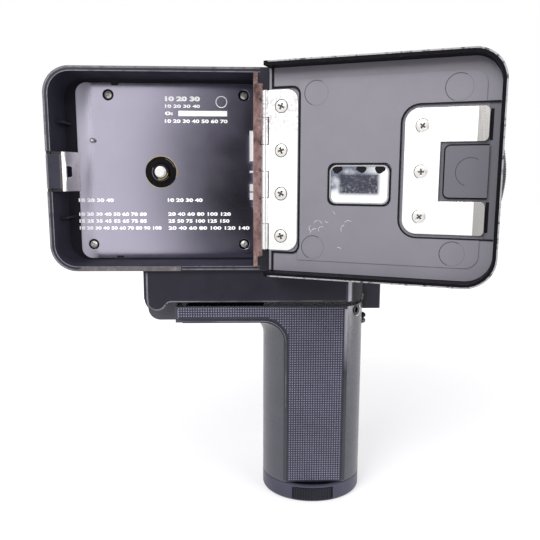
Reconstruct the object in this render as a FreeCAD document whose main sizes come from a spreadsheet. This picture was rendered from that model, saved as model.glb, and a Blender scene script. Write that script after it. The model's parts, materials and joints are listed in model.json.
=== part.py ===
import FreeCAD, Part
import math
import os
import Sketcher

# A silent cartridge film camera on its L-shaped grip, with the film door standing open.
# The origin is on the standing surface, under the middle of the grip. +X points at the scene,
# +Y points away from the film door, to the camera's left side, and +Z is up.

Vector = FreeCAD.Vector
Rotation = FreeCAD.Rotation
doc = FreeCAD.newDocument("MovieCamera")
sheet = doc.addObject("Spreadsheet::Sheet", "Params")
cells = []
nodes = []


class Size:
    """A dimension: the number that it has now, and the sheet expression that it follows."""

    def __init__(self, number, text):
        self.number = number
        self.text = text

    def __float__(self):
        return self.number

    def __neg__(self):
        return Size(-self.number, f"(-1 * {self.text})")

    def __add__(self, other):
        return Size(self.number + float(other), f"({self.text} + {size(other).text})")

    def __radd__(self, other):
        return size(other) + self

    def __sub__(self, other):
        return Size(self.number - float(other), f"({self.text} - {size(other).text})")

    def __rsub__(self, other):
        return size(other) - self

    def __mul__(self, other):
        return Size(self.number * float(other), f"({self.text} * {size(other).text})")

    def __rmul__(self, other):
        return size(other) * self

    def __truediv__(self, other):
        return Size(self.number / float(other), f"({self.text} / {size(other).text})")


def size(item):
    """A plain number as a Size; a Size as it is."""
    if isinstance(item, Size):
        return item
    return Size(float(item), f"({float(item)})")


def cell(name, number, note):
    """Write one driving dimension on a sheet row of its own, with its alias."""
    cells.append(name)
    row = len(cells)
    sheet.set(f"A{row}", name)
    sheet.set(f"B{row}", str(number))
    sheet.set(f"C{row}", note)
    sheet.setAlias(f"B{row}", name)
    return Size(float(number), f"Params.{name}")


# Driving dimensions: the body
housing_length = cell("housing_length", 60.9, "front housing, front to rear")
body_height = cell("body_height", 95, "underside to top")
body_depth = cell("body_depth", 48.5, "film compartment rim to left cover")
body_corner = cell("body_corner", 12.5, "radius of the rear corners")
front_corner = cell("front_corner", 5, "radius of the front corners")
wall = cell("wall", 2.4, "moulded wall of the body")
cover_thickness = cell("cover_thickness", 2, "left cover")
front_reach = cell("front_reach", 37.2, "grip axis to the body's front face")
rim_offset = cell("rim_offset", 20, "grip axis to the compartment rim")
underside_up = cell("underside_up", 120, "standing surface to the body's underside")
edge_round = cell("edge_round", 1, "small rounding on outer edges")
split_from_rear = cell("split_from_rear", 104, "joint between body shell and front housing")
bulkhead_from_rear = cell("bulkhead_from_rear", 96.6, "front wall of the film compartment")
running = cell("running", 0.06, "radial clearance of shafts")
free_gap = cell("free_gap", 0.3, "gap between pieces that move past each other")

# Driving dimensions: the film compartment
floor_depth = cell("floor_depth", 24, "rim to floor plate")
plate_thickness = cell("plate_thickness", 0.8, "floor plate")
partition = cell("partition", 1.7, "wall between film and mechanism")
plate_left = cell("plate_left", 8.4, "floor plate edge from the rear face")
plate_low = cell("plate_low", 3.2, "floor plate edge above the underside")
plate_high = cell("plate_high", 3.9, "floor plate edge below the top")
plate_corner = cell("plate_corner", 5.5, "floor plate corner radius")
plate_notch_x = cell("plate_notch_x", 26.4, "edge notches from the rear face")
plate_notch_length = cell("plate_notch_length", 3.2, "length of an edge notch")
plate_notch_depth = cell("plate_notch_depth", 1.2, "depth of an edge notch")
screw_low_x = cell("screw_low_x", 14.5, "lower rear floor screw from the rear face")
screw_high_x = cell("screw_high_x", 24.5, "upper rear floor screw from the rear face")
screw_front_x = cell("screw_front_x", 92, "front floor screws from the rear face")
screw_low_z = cell("screw_low_z", 10.4, "lower floor screws above the underside")
screw_high_drop = cell("screw_high_drop", 9.8, "upper floor screws below the top")
screw_head = cell("screw_head", 1.8, "radius of a floor screw's head")
screw_seat = cell("screw_seat", 2.7, "radius of a floor screw's recess")
screw_head_height = cell("screw_head_height", 1.2, "floor screw head")
screw_shank = cell("screw_shank", 1, "radius of a floor screw's shank")
spindle_from_rear = cell("spindle_from_rear", 49.9, "take-up spindle from the rear face")
spindle_up = cell("spindle_up", 47.3, "take-up spindle above the underside")
bezel_radius = cell("bezel_radius", 7.8, "spindle bezel")
bezel_bore = cell("bezel_bore", 4.4, "opening in the spindle bezel")
bezel_rise = cell("bezel_rise", 0.5, "bezel edge above the floor plate")
bezel_lip = cell("bezel_lip", 0.6, "width of the bezel's raised edge")
spindle_radius = cell("spindle_radius", 4, "spindle hub")
spindle_stub = cell("spindle_stub", 2.4, "spindle tip")
spindle_reach = cell("spindle_reach", 5.5, "spindle tip above the floor")
spindle_shaft = cell("spindle_shaft", 2, "spindle shaft radius")
spindle_step = cell("spindle_step", 1, "wide part of the hub above the floor plate")
pin_from_rear = cell("pin_from_rear", 16.3, "cartridge sensing pin from the rear face")
pin_up = cell("pin_up", 62.8, "cartridge sensing pin above the underside")
pin_radius = cell("pin_radius", 1.1, "sensing pin")
pin_reach = cell("pin_reach", 3, "sensing pin above the floor")
pin_tip = cell("pin_tip", 0.5, "tapered tip of the sensing pin")
pin_travel = cell("pin_travel", 2, "travel of the sensing pin")
pin_head = cell("pin_head", 1, "head behind the sensing pin")
rib_low = cell("rib_low", 25, "lower rear rib above the underside")
rib_high = cell("rib_high", 70.7, "upper rear rib above the underside")
rib_reach = cell("rib_reach", 3.6, "rib from the rear wall's inside")
rib_thickness = cell("rib_thickness", 0.8, "thickness of a rib")
rib_start = cell("rib_start", 9, "rib start below the rim")
seal_height = cell("seal_height", 0.8, "foam light seal")
seal_length = cell("seal_length", 4.9, "width of the light seal, along the body")
seal_notch = cell("seal_notch", 7, "narrow end of the light seal from the body's top and underside")

# Driving dimensions: film gate and feelers
gate_centre_up = cell("gate_centre_up", 47.5, "optical axis above the underside")
gate_centre_in = cell("gate_centre_in", 12, "optical axis from the rim")
gate_width = cell("gate_width", 18, "gate window, rim to floor direction")
gate_height = cell("gate_height", 37, "gate window, up direction")
gate_plate = cell("gate_plate", 2, "thickness of the gate plate")
gate_rise = cell("gate_rise", 1.7, "gate pads behind the bulkhead's face")
gate_margin = cell("gate_margin", 2, "gate plate beyond the upper pad, each side")
gate_pad_low = cell("gate_pad_low", 5, "upper pad above the optical axis")
gate_pad_length = cell("gate_pad_length", 14.2, "length of the upper pad")
frame_width = cell("frame_width", 5.8, "aperture width")
frame_height = cell("frame_height", 4.2, "aperture height, and the claw's travel")
feeler_height = cell("feeler_height", 3.4, "each feeler block")
feeler_width = cell("feeler_width", 5, "each feeler block, rim to floor direction")
feeler_drop = cell("feeler_drop", 6, "upper feeler's top below the optical axis")
feeler_pitch = cell("feeler_pitch", 4.1, "upper feeler to lower feeler")
feeler_in = cell("feeler_in", 6, "feelers from the rim")
feeler_travel = cell("feeler_travel", 1.6, "travel of a feeler before its ears stop it")
feeler_ear = cell("feeler_ear", 1.4, "thickness of a feeler's ears")
feeler_lug = cell("feeler_lug", 1, "reach of a feeler's ears")
claw_in = cell("claw_in", 16, "claw tip from the rim")
claw_tip = cell("claw_tip", 1, "claw tip thickness")
claw_arm = cell("claw_arm", 8, "claw's arm, up direction")
claw_side = cell("claw_side", 1.8, "claw's arm beside its tip")

# Driving dimensions: rear spring and catch
catch_low = cell("catch_low", 39.3, "door catch above the underside")
catch_height = cell("catch_height", 15.8, "door catch height")
catch_depth = cell("catch_depth", 8, "door catch, rim to floor direction")
catch_thickness = cell("catch_thickness", 2, "door catch tab")
catch_sheet = cell("catch_sheet", 0.8, "plate of the door catch across the rim")
catch_length = cell("catch_length", 7, "plate of the door catch from the rear face")
catch_room = cell("catch_room", 1.4, "notch in the rim beyond each end of the catch")
spring_height = cell("spring_height", 18.6, "cartridge spring height")
spring_thickness = cell("spring_thickness", 0.7, "cartridge spring sheet")
spring_in = cell("spring_in", 1.5, "cartridge spring's root below the rim")
spring_turn = cell("spring_turn", 6, "spring's bend below the rim")
spring_bend = cell("spring_bend", 4.9, "spring's bend from the rear wall")
spring_end = cell("spring_end", 15.4, "spring's free end below the rim")
spring_reach = cell("spring_reach", 8.6, "spring's free end from the rear wall")
spring_slot = cell("spring_slot", 5.2, "slot in the spring, up direction")
spring_slot_in = cell("spring_slot_in", 1.1, "middle of the slot from the spring's bend")
spring_slot_round = cell("spring_slot_round", 0.8, "round end of the slot in the spring")
spring_slot_width = cell("spring_slot_width", 1.8, "slot in the spring, front to rear")

# Driving dimensions: door
hinge_from_rear = cell("hinge_from_rear", 102, "hinge axis from the rear face")
hinge_offset = cell("hinge_offset", 7.9, "hinge axis outside the rim")
door_open_angle = cell("door_open_angle", 157.4, "opening angle as photographed")
door_stop_angle = cell("door_stop_angle", 160, "opening angle at the stop")
door_skin = cell("door_skin", 1.6, "outer skin of the door")
door_wall = cell("door_wall", 1.9, "rim wall of the door")
door_corner = cell("door_corner", 13, "corner radius of the door")
door_edge = cell("door_edge", 2, "hinge axis to the door's hinge edge")
liner_thickness = cell("liner_thickness", 1, "door liner")
liner_step = cell("liner_step", 0.4, "raised middle of the liner")
liner_margin = cell("liner_margin", 5.5, "margin round the raised middle")
leaf_length = cell("leaf_length", 72, "hinge leaves, up direction")
leaf_low = cell("leaf_low", 11.6, "hinge leaves above the underside")
leaf_width = cell("leaf_width", 15.6, "door leaf from the hinge axis")
leaf_corner = cell("leaf_corner", 5.3, "door leaf corner radius")
leaf_thickness = cell("leaf_thickness", 0.8, "hinge sheet")
leaf_depth = cell("leaf_depth", 4, "body leaf inside the bulkhead")
knuckle_radius = cell("knuckle_radius", 1.6, "hinge knuckle")
hinge_pin_radius = cell("hinge_pin_radius", 0.9, "hinge pin")
leaf_screw_in = cell("leaf_screw_in", 7.8, "leaf screws from the hinge axis")
leaf_screw_pitch = cell("leaf_screw_pitch", 19.4, "leaf screws apart")
leaf_screw_low = cell("leaf_screw_low", 18.1, "lowest leaf screw above the underside")
door_screw_head = cell("door_screw_head", 2.75, "countersunk head radius")
door_screw_shank = cell("door_screw_shank", 1.4, "door screw shank radius")
door_screw_rise = cell("door_screw_rise", 0.4, "door screw heads above their seat")
screw_skin = cell("screw_skin", 0.4, "skin left outside the door's screw holes")
pressure_near = cell("pressure_near", 62.8, "pressure plate from the hinge axis")
pressure_far = cell("pressure_far", 96, "pressure plate's arm ends from the hinge axis")
pressure_bend = cell("pressure_bend", 4.2, "bent end of each arm")
pressure_notch = cell("pressure_notch", 77.4, "notch from the hinge axis")
pressure_low = cell("pressure_low", 21.4, "pressure plate above the underside")
pressure_height = cell("pressure_height", 52, "pressure plate height")
pressure_arm = cell("pressure_arm", 13.8, "width of an arm")
pressure_corner = cell("pressure_corner", 6, "pressure plate corner radius")
pressure_thickness = cell("pressure_thickness", 0.7, "pressure plate sheet")
pressure_tip = cell("pressure_tip", 2, "corner radius of the pressure plate's arm ends")
pressure_screw_in = cell("pressure_screw_in", 70, "plate screws from the hinge axis")
pressure_screw_pitch = cell("pressure_screw_pitch", 18.8, "plate screws apart")
block_near = cell("block_near", 79.5, "square block from the hinge axis")
block_length = cell("block_length", 17, "square block away from the hinge")
recess_margin = cell("recess_margin", 1.6, "recess in the liner round the pressure plate")
recess_depth = cell("recess_depth", 0.6, "recess below the liner's leaf face")
block_corner = cell("block_corner", 2, "corner radius of the square block on its hinge side")
block_gap = cell("block_gap", 1.7, "square block to the plate's arms")
block_rise = cell("block_rise", 0.9, "square block above the liner")
window_near = cell("window_near", 29.7, "door window from the hinge axis")
window_length = cell("window_length", 28, "door window length")
window_height = cell("window_height", 18.6, "door window height")
window_corner = cell("window_corner", 3, "door window corner radius")
window_low = cell("window_low", 32.6, "door window above the underside")
pull_low = cell("pull_low", 36, "finger pull above the underside")
pull_height = cell("pull_height", 20, "finger pull height")
pull_rise = cell("pull_rise", 1.1, "finger pull outside the door's edge")
pull_depth = cell("pull_depth", 6, "finger pull, through the door")
pull_in = cell("pull_in", 1, "finger pull from the door's outer face")
pull_base = cell("pull_base", 0.15, "foot of the finger pull")
pull_teeth = cell("pull_teeth", 12, "teeth of the finger pull")
pull_groove = cell("pull_groove", 0.3, "grooves between the teeth of the finger pull")

# Driving dimensions: base rail and grip
keel_height = cell("keel_height", 15.9, "base rail below the underside")
keel_from_rear = cell("keel_from_rear", 43.2, "base rail from the body's rear face")
keel_wall = cell("keel_wall", 2.6, "wall of the base rail")
column_length = cell("column_length", 51.6, "grip column, front to rear")
column_width = cell("column_width", 45, "grip column before its flats, across")
flat_width = cell("flat_width", 36, "across the grip's flats")
grip_wall = cell("grip_wall", 2.4, "wall of the grip")
arm_gap = cell("arm_gap", 2.3, "base rail to grip arm")
arm_height = cell("arm_height", 7.8, "height of the grip arm")
arm_from_rear = cell("arm_from_rear", 58.3, "arm's textured part from the body's rear face")
web_round = cell("web_round", 10, "hollow between arm and column")
web_spread = cell("web_spread", 5.4, "extra width of the web's oval where it meets the arm")
pivot_from_rear = cell("pivot_from_rear", 49.3, "grip pivot from the body's rear face")
pivot_drop = cell("pivot_drop", 14.3, "grip pivot below the underside")
lobe_radius = cell("lobe_radius", 5.8, "ears of the base rail")
ear_thickness = cell("ear_thickness", 6, "ears of the base rail, across")
knuckle_body = cell("knuckle_body", 5.2, "radius of the grip's knuckle")
nose_round = cell("nose_round", 6, "rounded nose of the grip's knuckle")
pivot_pin_radius = cell("pivot_pin_radius", 2, "grip pivot pin")
pin_cover = cell("pin_cover", 1.5, "skin of the near ear over the grip pivot pin")
cap_height = cell("cap_height", 8.8, "battery cap")
cap_wall = cell("cap_wall", 2, "wall of the battery cap")
cap_turn_gap = cell("cap_turn_gap", 0.3, "battery cap to grip")
foot_round = cell("foot_round", 2, "rounding round the foot of the battery cap")
tab_length = cell("tab_length", 19, "serrated thumb tab")
tab_height = cell("tab_height", 6.4, "serrated thumb tab")
tab_depth = cell("tab_depth", 2.2, "serrated thumb tab")
tab_low = cell("tab_low", 1, "thumb tab above the standing surface")
tab_behind = cell("tab_behind", 0.8, "thumb tab's middle behind the grip axis")
tab_gap = cell("tab_gap", 0.9, "opening beyond each end of the thumb tab")
tab_teeth = cell("tab_teeth", 14, "teeth of the thumb tab")
tab_groove = cell("tab_groove", 0.35, "radius of the grooves between the tab's teeth")
tripod_radius = cell("tripod_radius", 3.2, "tripod bush bore, for a quarter inch screw")
tripod_outer = cell("tripod_outer", 6, "tripod bush")
tripod_depth = cell("tripod_depth", 7, "tripod bush")
cell_radius = cell("cell_radius", 7.2, "battery cell")
cell_length = cell("cell_length", 49.5, "battery cell body")
cell_nub = cell("cell_nub", 1, "battery cell's contact nub")
cell_pitch = cell("cell_pitch", 14.9, "battery cells apart")
contact_thickness = cell("contact_thickness", 0.6, "contact plates")
panel_thickness = cell("panel_thickness", 0.9, "textured grip panel")
panel_recess = cell("panel_recess", 0.5, "depth of the panel's seat")
panel_front = cell("panel_front", 14, "panel ahead of the grip axis")
panel_rear = cell("panel_rear", 14, "panel behind the grip axis")
panel_margin = cell("panel_margin", 0.7, "panel below the arm's top")
panel_foot = cell("panel_foot", 0.6, "panel above the cap")
panel_band = cell("panel_band", 5.6, "height of the panel along the arm")
panel_round = cell("panel_round", 12, "hollow corner of the panel")

# Driving dimensions: trigger, latch and release socket
trigger_width = cell("trigger_width", 8, "trigger across")
trigger_height = cell("trigger_height", 2.2, "trigger and run button, each")
trigger_drop = cell("trigger_drop", 25.4, "trigger's top below the underside")
trigger_pitch = cell("trigger_pitch", 2.9, "trigger to run button")
trigger_proud = cell("trigger_proud", 0.4, "trigger ahead of the column when it is pressed home")
trigger_inside = cell("trigger_inside", 7, "trigger behind the column's front")
trigger_travel = cell("trigger_travel", 1.8, "trigger travel")
trigger_round = cell("trigger_round", 1, "rounded outer edge of the trigger and the run button")
socket_radius = cell("socket_radius", 2.2, "release socket collar")
socket_bore = cell("socket_bore", 1.5, "release socket bore")
socket_aside = cell("socket_aside", 13.8, "release socket beside the grip axis")
socket_turn = cell("socket_turn", 40, "release socket's axis, turned out from straight ahead")
socket_drop = cell("socket_drop", 20.8, "release socket below the underside")
socket_length = cell("socket_length", 8, "release socket")
socket_reach = cell("socket_reach", 0.4, "release socket's mouth off the column there")
hook_back = cell("hook_back", 4.1, "latch pivot behind the column's front")
hook_drop = cell("hook_drop", 11.6, "latch pivot below the underside")
hook_width = cell("hook_width", 7.4, "latch hook across")
hook_pin_radius = cell("hook_pin_radius", 1, "latch pivot pin")
hook_length = cell("hook_length", 9.6, "latch hook below its pivot")
hook_boss = cell("hook_boss", 1.6, "half width of the latch round its pivot")
hook_lip = cell("hook_lip", 2.2, "nose of the latch, front to rear")
chin_drop = cell("chin_drop", 24.5, "front chin below the underside")
chin_gap = cell("chin_gap", 0.5, "front chin ahead of the grip column")
chin_near = cell("chin_near", 26.3, "front chin from the rim")
chin_far = cell("chin_far", 3, "front chin from the left cover")

# Driving dimensions: lens, along the optical axis from the front face
lens_hole = cell("lens_hole", 20.2, "radius of the hole in the front wall")
barrel_radius = cell("barrel_radius", 20, "lens barrel")
barrel_wall = cell("barrel_wall", 3, "wall of the lens barrel")
barrel_gap = cell("barrel_gap", 10, "rear end of the barrel ahead of the bearing rib")
barrel_reach = cell("barrel_reach", 38, "barrel ahead of the front face")
flange_radius = cell("flange_radius", 22, "lens flange")
flange_thickness = cell("flange_thickness", 2.5, "lens flange")
zoom_start = cell("zoom_start", 3.5, "zoom ring from the front face")
zoom_length = cell("zoom_length", 13, "zoom ring")
zoom_radius = cell("zoom_radius", 24.4, "zoom ring")
lever_length = cell("lever_length", 10, "zoom lever beyond its ring")
lever_radius = cell("lever_radius", 2.2, "zoom lever")
lever_stub = cell("lever_stub", 1.2, "radius of the lever's stub in the ring")
lever_stub_depth = cell("lever_stub_depth", 2, "depth of the lever's stub")
focus_start = cell("focus_start", 17.5, "focus ring from the front face")
focus_length = cell("focus_length", 16.5, "focus ring")
focus_radius = cell("focus_radius", 23.8, "focus ring")
rib_count = cell("rib_count", 40, "ribs round each lens ring")
rib_depth = cell("rib_depth", 0.6, "depth of the grooves between the ribs")
filter_radius = cell("filter_radius", 21.2, "bore of the filter thread")
filter_outer = cell("filter_outer", 23.8, "filter ring")
filter_reach = cell("filter_reach", 6, "filter ring ahead of the barrel")
filter_depth = cell("filter_depth", 5, "depth of the filter thread")
glass_step = cell("glass_step", 0.5, "filter ring's mouth inside the barrel's bore")
front_glass_edge = cell("front_glass_edge", 6, "front element edge thickness")
front_glass_bulge = cell("front_glass_bulge", 3, "front element crown")
rear_glass = cell("rear_glass", 9, "rear element radius")
group_start = cell("group_start", 14, "first inner element behind the front face")
group_pitch = cell("group_pitch", 16, "inner elements apart")
group_edge = cell("group_edge", 6, "thickness of an inner element")

# Driving dimensions: finder, dials and top
finder_in = cell("finder_in", 36.5, "finder axis from the rim")
finder_drop = cell("finder_drop", 15.4, "finder axis below the top")
finder_radius = cell("finder_radius", 7, "finder tube")
finder_wall = cell("finder_wall", 1.2, "finder tube wall")
finder_length = cell("finder_length", 92, "finder tube inside the body")
eye_radius = cell("eye_radius", 8.3, "eyepiece")
eye_flange = cell("eye_flange", 2.6, "eyepiece flange behind the body")
dioptre_length = cell("dioptre_length", 3.2, "dioptre ring")
eyecup_length = cell("eyecup_length", 3, "rubber eyecup")
eyecup_plug = cell("eyecup_plug", 1.6, "finder tube inside the eyecup")
eyecup_lip = cell("eyecup_lip", 0.8, "rounded lip of the eyecup")
eye_glass_edge = cell("eye_glass_edge", 2, "eyepiece lens edge")
eye_glass_bulge = cell("eye_glass_bulge", 0.9, "eyepiece lens crown")
speed_dial_radius = cell("speed_dial_radius", 13, "speed dial")
speed_dial_x = cell("speed_dial_x", 60, "speed dial from the rear face")
dial_up = cell("dial_up", 30, "dials above the underside")
dial_height = cell("dial_height", 5, "dials off the cover")
exposure_radius = cell("exposure_radius", 10.5, "exposure dial")
exposure_x = cell("exposure_x", 92, "exposure dial from the rear face")
dial_shaft = cell("dial_shaft", 2, "dial shaft radius")
rocker_behind = cell("rocker_behind", 22, "zoom rocker's middle behind the front face")
rocker_in = cell("rocker_in", 20, "zoom rocker's middle from the rim")
rocker_length = cell("rocker_length", 22, "zoom rocker")
rocker_width = cell("rocker_width", 9, "zoom rocker")
rocker_rise = cell("rocker_rise", 2.2, "zoom rocker above the top")
rocker_pin = cell("rocker_pin", 0.7, "zoom rocker's pivot radius")
rocker_stub = cell("rocker_stub", 1.9, "zoom rocker's pivot beyond each side")
rocker_dish = cell("rocker_dish", 1, "dished middle of the zoom rocker")
shoe_length = cell("shoe_length", 18, "accessory shoe")
shoe_width = cell("shoe_width", 22, "accessory shoe across")
shoe_slot = cell("shoe_slot", 18.6, "accessory shoe slot")
shoe_height = cell("shoe_height", 4, "accessory shoe")
shoe_sheet = cell("shoe_sheet", 1.2, "accessory shoe's metal")
shoe_lip = cell("shoe_lip", 3, "lips over the accessory shoe's slot")

# Driving dimensions: drive train
gear_module = cell("gear_module", 0.6, "module of the spur gears")
tooth_root = cell("tooth_root", 0.3, "half of a tooth's foot, in parts of the pitch")
tooth_tip = cell("tooth_tip", 0.11, "half of a tooth's tip, in parts of the pitch")
pinion_teeth = cell("pinion_teeth", 12, "motor pinion teeth")
lay_teeth = cell("lay_teeth", 29, "worm shaft gear teeth")
shutter_teeth = cell("shutter_teeth", 16, "shutter gear teeth")
gear_width = cell("gear_width", 2, "spur gears")
gear_start = cell("gear_start", 2.2, "gears ahead of the housing's rear wall")
lay_in = cell("lay_in", 36, "worm shaft from the rim")
lay_up = cell("lay_up", 29.3, "worm shaft above the underside")
lay_radius = cell("lay_radius", 1.5, "worm shaft")
worm_radius = cell("worm_radius", 3.4, "worm")
worm_length = cell("worm_length", 14, "worm")
worm_turns = cell("worm_turns", 6, "grooves along the worm")
worm_groove = cell("worm_groove", 1, "width of a worm groove")
worm_depth = cell("worm_depth", 0.8, "depth of a worm groove")
takeup_teeth = cell("takeup_teeth", 28, "take-up gear teeth")
takeup_radius = cell("takeup_radius", 14.2, "take-up gear")
takeup_width = cell("takeup_width", 3, "take-up gear")
takeup_depth = cell("takeup_depth", 1.6, "depth of the take-up gear's teeth")
motor_radius = cell("motor_radius", 8, "motor")
motor_length = cell("motor_length", 34, "motor")
motor_shaft = cell("motor_shaft", 1, "motor shaft radius")
shutter_shaft = cell("shutter_shaft", 1.2, "shutter shaft radius")
shutter_radius = cell("shutter_radius", 19, "shutter disc")
shutter_start = cell("shutter_start", 5.4, "shutter disc ahead of the housing's rear wall")
shutter_thickness = cell("shutter_thickness", 0.5, "shutter disc")
shutter_open = cell("shutter_open", 4, "shutter opening from its shaft")
shutter_drop = cell("shutter_drop", 10.5, "shutter shaft below the optical axis")
rib_wall = cell("rib_wall", 2, "bearing rib in the front housing")
chassis_in = cell("chassis_in", 41.5, "mechanism plate from the rim")
chassis_thickness = cell("chassis_thickness", 1.2, "mechanism plate")
chassis_low = cell("chassis_low", 36, "mechanism plate above the underside")
chassis_clear = cell("chassis_clear", 3.7, "mechanism plate below the finder tube")
chassis_rear = cell("chassis_rear", 20, "mechanism plate from the rear face")
chassis_length = cell("chassis_length", 72, "mechanism plate length")
chassis_tab = cell("chassis_tab", 3, "bearing tabs of the mechanism plate")
post_radius = cell("post_radius", 2.5, "posts of the mechanism plate")
post_inset = cell("post_inset", 5, "posts from the plate's edges")
doc.recompute()

# Places in the camera's frame, all from the sizes above
body_length = split_from_rear + housing_length
front = front_reach
rear = front - body_length
rim = -rim_offset
back = rim + body_depth
cover_face = back - cover_thickness
under = underside_up
top = under + body_height
split = rear + split_from_rear
bulkhead = rear + bulkhead_from_rear
floor = rim + floor_depth
partition_near = floor + plate_thickness
partition_far = partition_near + partition
hinge_x = rear + hinge_from_rear
hinge_y = rim - hinge_offset
spindle_x = rear + spindle_from_rear
spindle_z = under + spindle_up
axis_y = rim + gate_centre_in
axis_z = under + gate_centre_up
column_front = column_length / 2
flat = flat_width / 2
keel_low = under - keel_height
keel_rear = rear + keel_from_rear
arm_top = keel_low - arm_gap
arm_low = arm_top - arm_height
arm_rear = rear + arm_from_rear
pivot_x = rear + pivot_from_rear
pivot_z = under - pivot_drop
cap_top = cap_height
column_low = cap_top + cap_turn_gap
housing_rear = split
housing_inside = split + wall
finder_y = rim + finder_in
finder_z = top - finder_drop
lay_y = rim + lay_in
lay_z = under + lay_up


# Tools of the trade: binding, primitives and booleans
def bind(item, path, dimension):
    """Tie one property of a document object to the sheet."""
    item.setExpression(path, size(dimension).text)


def place(item, x, y, z):
    """Tie an object's position to the sheet and keep its rotation."""
    for letter, dimension in zip("xyz", (x, y, z)):
        bind(item, f"Placement.Base.{letter}", dimension)


def box(name, x, y, z):
    """A block between the low and high ends of three spans."""
    item = doc.addObject("Part::Box", name)
    for prop, span in zip(("Length", "Width", "Height"), (x, y, z)):
        bind(item, prop, size(span[1]) - span[0])
    place(item, x[0], y[0], z[0])
    return item


TURNS = {"X": Rotation(Vector(0, 1, 0), 90), "Y": Rotation(Vector(1, 0, 0), -90), "Z": Rotation()}


def cylinder(name, axis, span, centre, radius):
    """A round bar along an axis; centre holds the other two coordinates in x, y, z order."""
    item = doc.addObject("Part::Cylinder", name)
    item.Placement = FreeCAD.Placement(Vector(), TURNS[axis])
    bind(item, "Radius", radius)
    bind(item, "Height", size(span[1]) - span[0])
    spots = list(centre)
    spots.insert("XYZ".index(axis), span[0])
    place(item, *spots)
    return item


def ellipse(name, x, z, length, width):
    """A level ellipse on the grip's middle plane."""
    ring = doc.addObject("Part::Ellipse", name)
    bind(ring, "MajorRadius", length / 2)
    bind(ring, "MinorRadius", width / 2)
    place(ring, x, 0, z)
    return ring


def loft(name, *rings):
    """A smooth solid through several level outlines."""
    item = doc.addObject("Part::Loft", name)
    item.Sections = list(rings)
    item.Solid = True
    return item


def oval(name, z, length, width):
    """An upright elliptical column round the grip axis."""
    item = doc.addObject("Part::Extrusion", name)
    item.Base = ellipse(f"{name}_ring", 0, z[0], length, width)
    item.DirMode = "Custom"
    item.Dir = Vector(0, 0, 1)
    item.Solid = True
    bind(item, "LengthFwd", size(z[1]) - z[0])
    return item


def fuse(name, *parts):
    """Join several solids."""
    item = doc.addObject("Part::MultiFuse", name)
    item.Shapes = list(parts)
    item.Refine = True
    return item


def common(name, *parts):
    """Keep what several solids share."""
    item = doc.addObject("Part::MultiCommon", name)
    item.Shapes = list(parts)
    return item


def cut(name, base, *tools):
    """Take one or more solids out of another."""
    item = doc.addObject("Part::Cut", name)
    item.Base = base
    item.Tool = tools[0] if len(tools) == 1 else fuse(f"{name}_tools", *tools)
    item.Refine = True
    return item


def group(name, *parts):
    """Keep several separate solids together in one node."""
    item = doc.addObject("Part::Compound", name)
    item.Links = list(parts)
    return item


def node(item, label):
    """Name a finished sub-part and put it on the list that is written out."""
    item.Label = label
    nodes.append(item)
    return item


# Tools of the trade: sketches and part design features
PLANES = {"X": "YZ_Plane", "Y": "XZ_Plane", "Z": "XY_Plane"}
NORMALS = {"X": 1, "Y": -1, "Z": 1}


def polygon(points):
    """A closed outline of straight lines with every corner tied to the sheet."""
    def draw(sketch):
        start = len(sketch.Geometry)
        ends = [Vector(float(a), float(b), 0) for a, b in points]
        count = len(ends)
        for index in range(count):
            line = Part.LineSegment(ends[index], ends[(index + 1) % count])
            sketch.addGeometry(line, False)
        for index in range(count):
            after = start + (index + 1) % count
            sketch.addConstraint(Sketcher.Constraint("Coincident", start + index, 2, after, 1))
        for index, corner in enumerate(points):
            for kind, value in zip(("DistanceX", "DistanceY"), corner):
                rule = Sketcher.Constraint(kind, -1, 1, start + index, 1, float(value))
                number = sketch.addConstraint(rule)
                sketch.setExpression(f"Constraints[{number}]", size(value).text)
    return draw


def rectangle(x, y):
    """A rectangle between the low and high ends of two spans."""
    return polygon([(x[0], y[0]), (x[1], y[0]), (x[1], y[1]), (x[0], y[1])])


def disc(a, b, radius):
    """A circle tied to the sheet by its centre and radius."""
    def draw(sketch):
        start = len(sketch.Geometry)
        centre = Vector(float(a), float(b), 0)
        sketch.addGeometry(Part.Circle(centre, Vector(0, 0, 1), float(radius)), False)
        rules = [Sketcher.Constraint("DistanceX", -1, 1, start, 3, float(a)),
                 Sketcher.Constraint("DistanceY", -1, 1, start, 3, float(b)),
                 Sketcher.Constraint("Radius", start, float(radius))]
        for rule, value in zip(rules, (a, b, radius)):
            number = sketch.addConstraint(rule)
            sketch.setExpression(f"Constraints[{number}]", size(value).text)
    return draw


def sketch_on(body, axis, height, outlines):
    """A sketch square to an axis of the body, at a height along it."""
    sketch = body.newObject("Sketcher::SketchObject", f"{body.Name}_sketch")
    plane = [item for item in body.Origin.OriginFeatures if item.Role == PLANES[axis]][0]
    sketch.AttachmentSupport = [(plane, "")]
    sketch.MapMode = "FlatFace"
    bind(sketch, "AttachmentOffset.Base.z", height * NORMALS[axis])
    for draw in outlines:
        draw(sketch)
    return sketch


def design(label):
    """A new part design body for one sub-part."""
    body = doc.addObject("PartDesign::Body", label)
    return node(body, label)


def pad(body, axis, low, high, *outlines):
    """Add material between two heights along an axis."""
    sketch = sketch_on(body, axis, size(high if axis == "Y" else low), outlines)
    feature = body.newObject("PartDesign::Pad", f"{body.Name}_pad")
    feature.Profile = sketch
    bind(feature, "Length", size(high) - low)
    return feature


def pocket(body, axis, low, high, *outlines):
    """Take material away between two heights along an axis, and check that it went."""
    doc.recompute()
    before = body.Shape.Volume
    sketch = sketch_on(body, axis, size(low if axis == "Y" else high), outlines)
    feature = body.newObject("PartDesign::Pocket", f"{body.Name}_pocket")
    feature.Profile = sketch
    bind(feature, "Length", size(high) - low)
    doc.recompute()
    if not body.Shape.Volume < before:
        raise RuntimeError(f"a pocket in {body.Label} cut nothing")
    return feature


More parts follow.
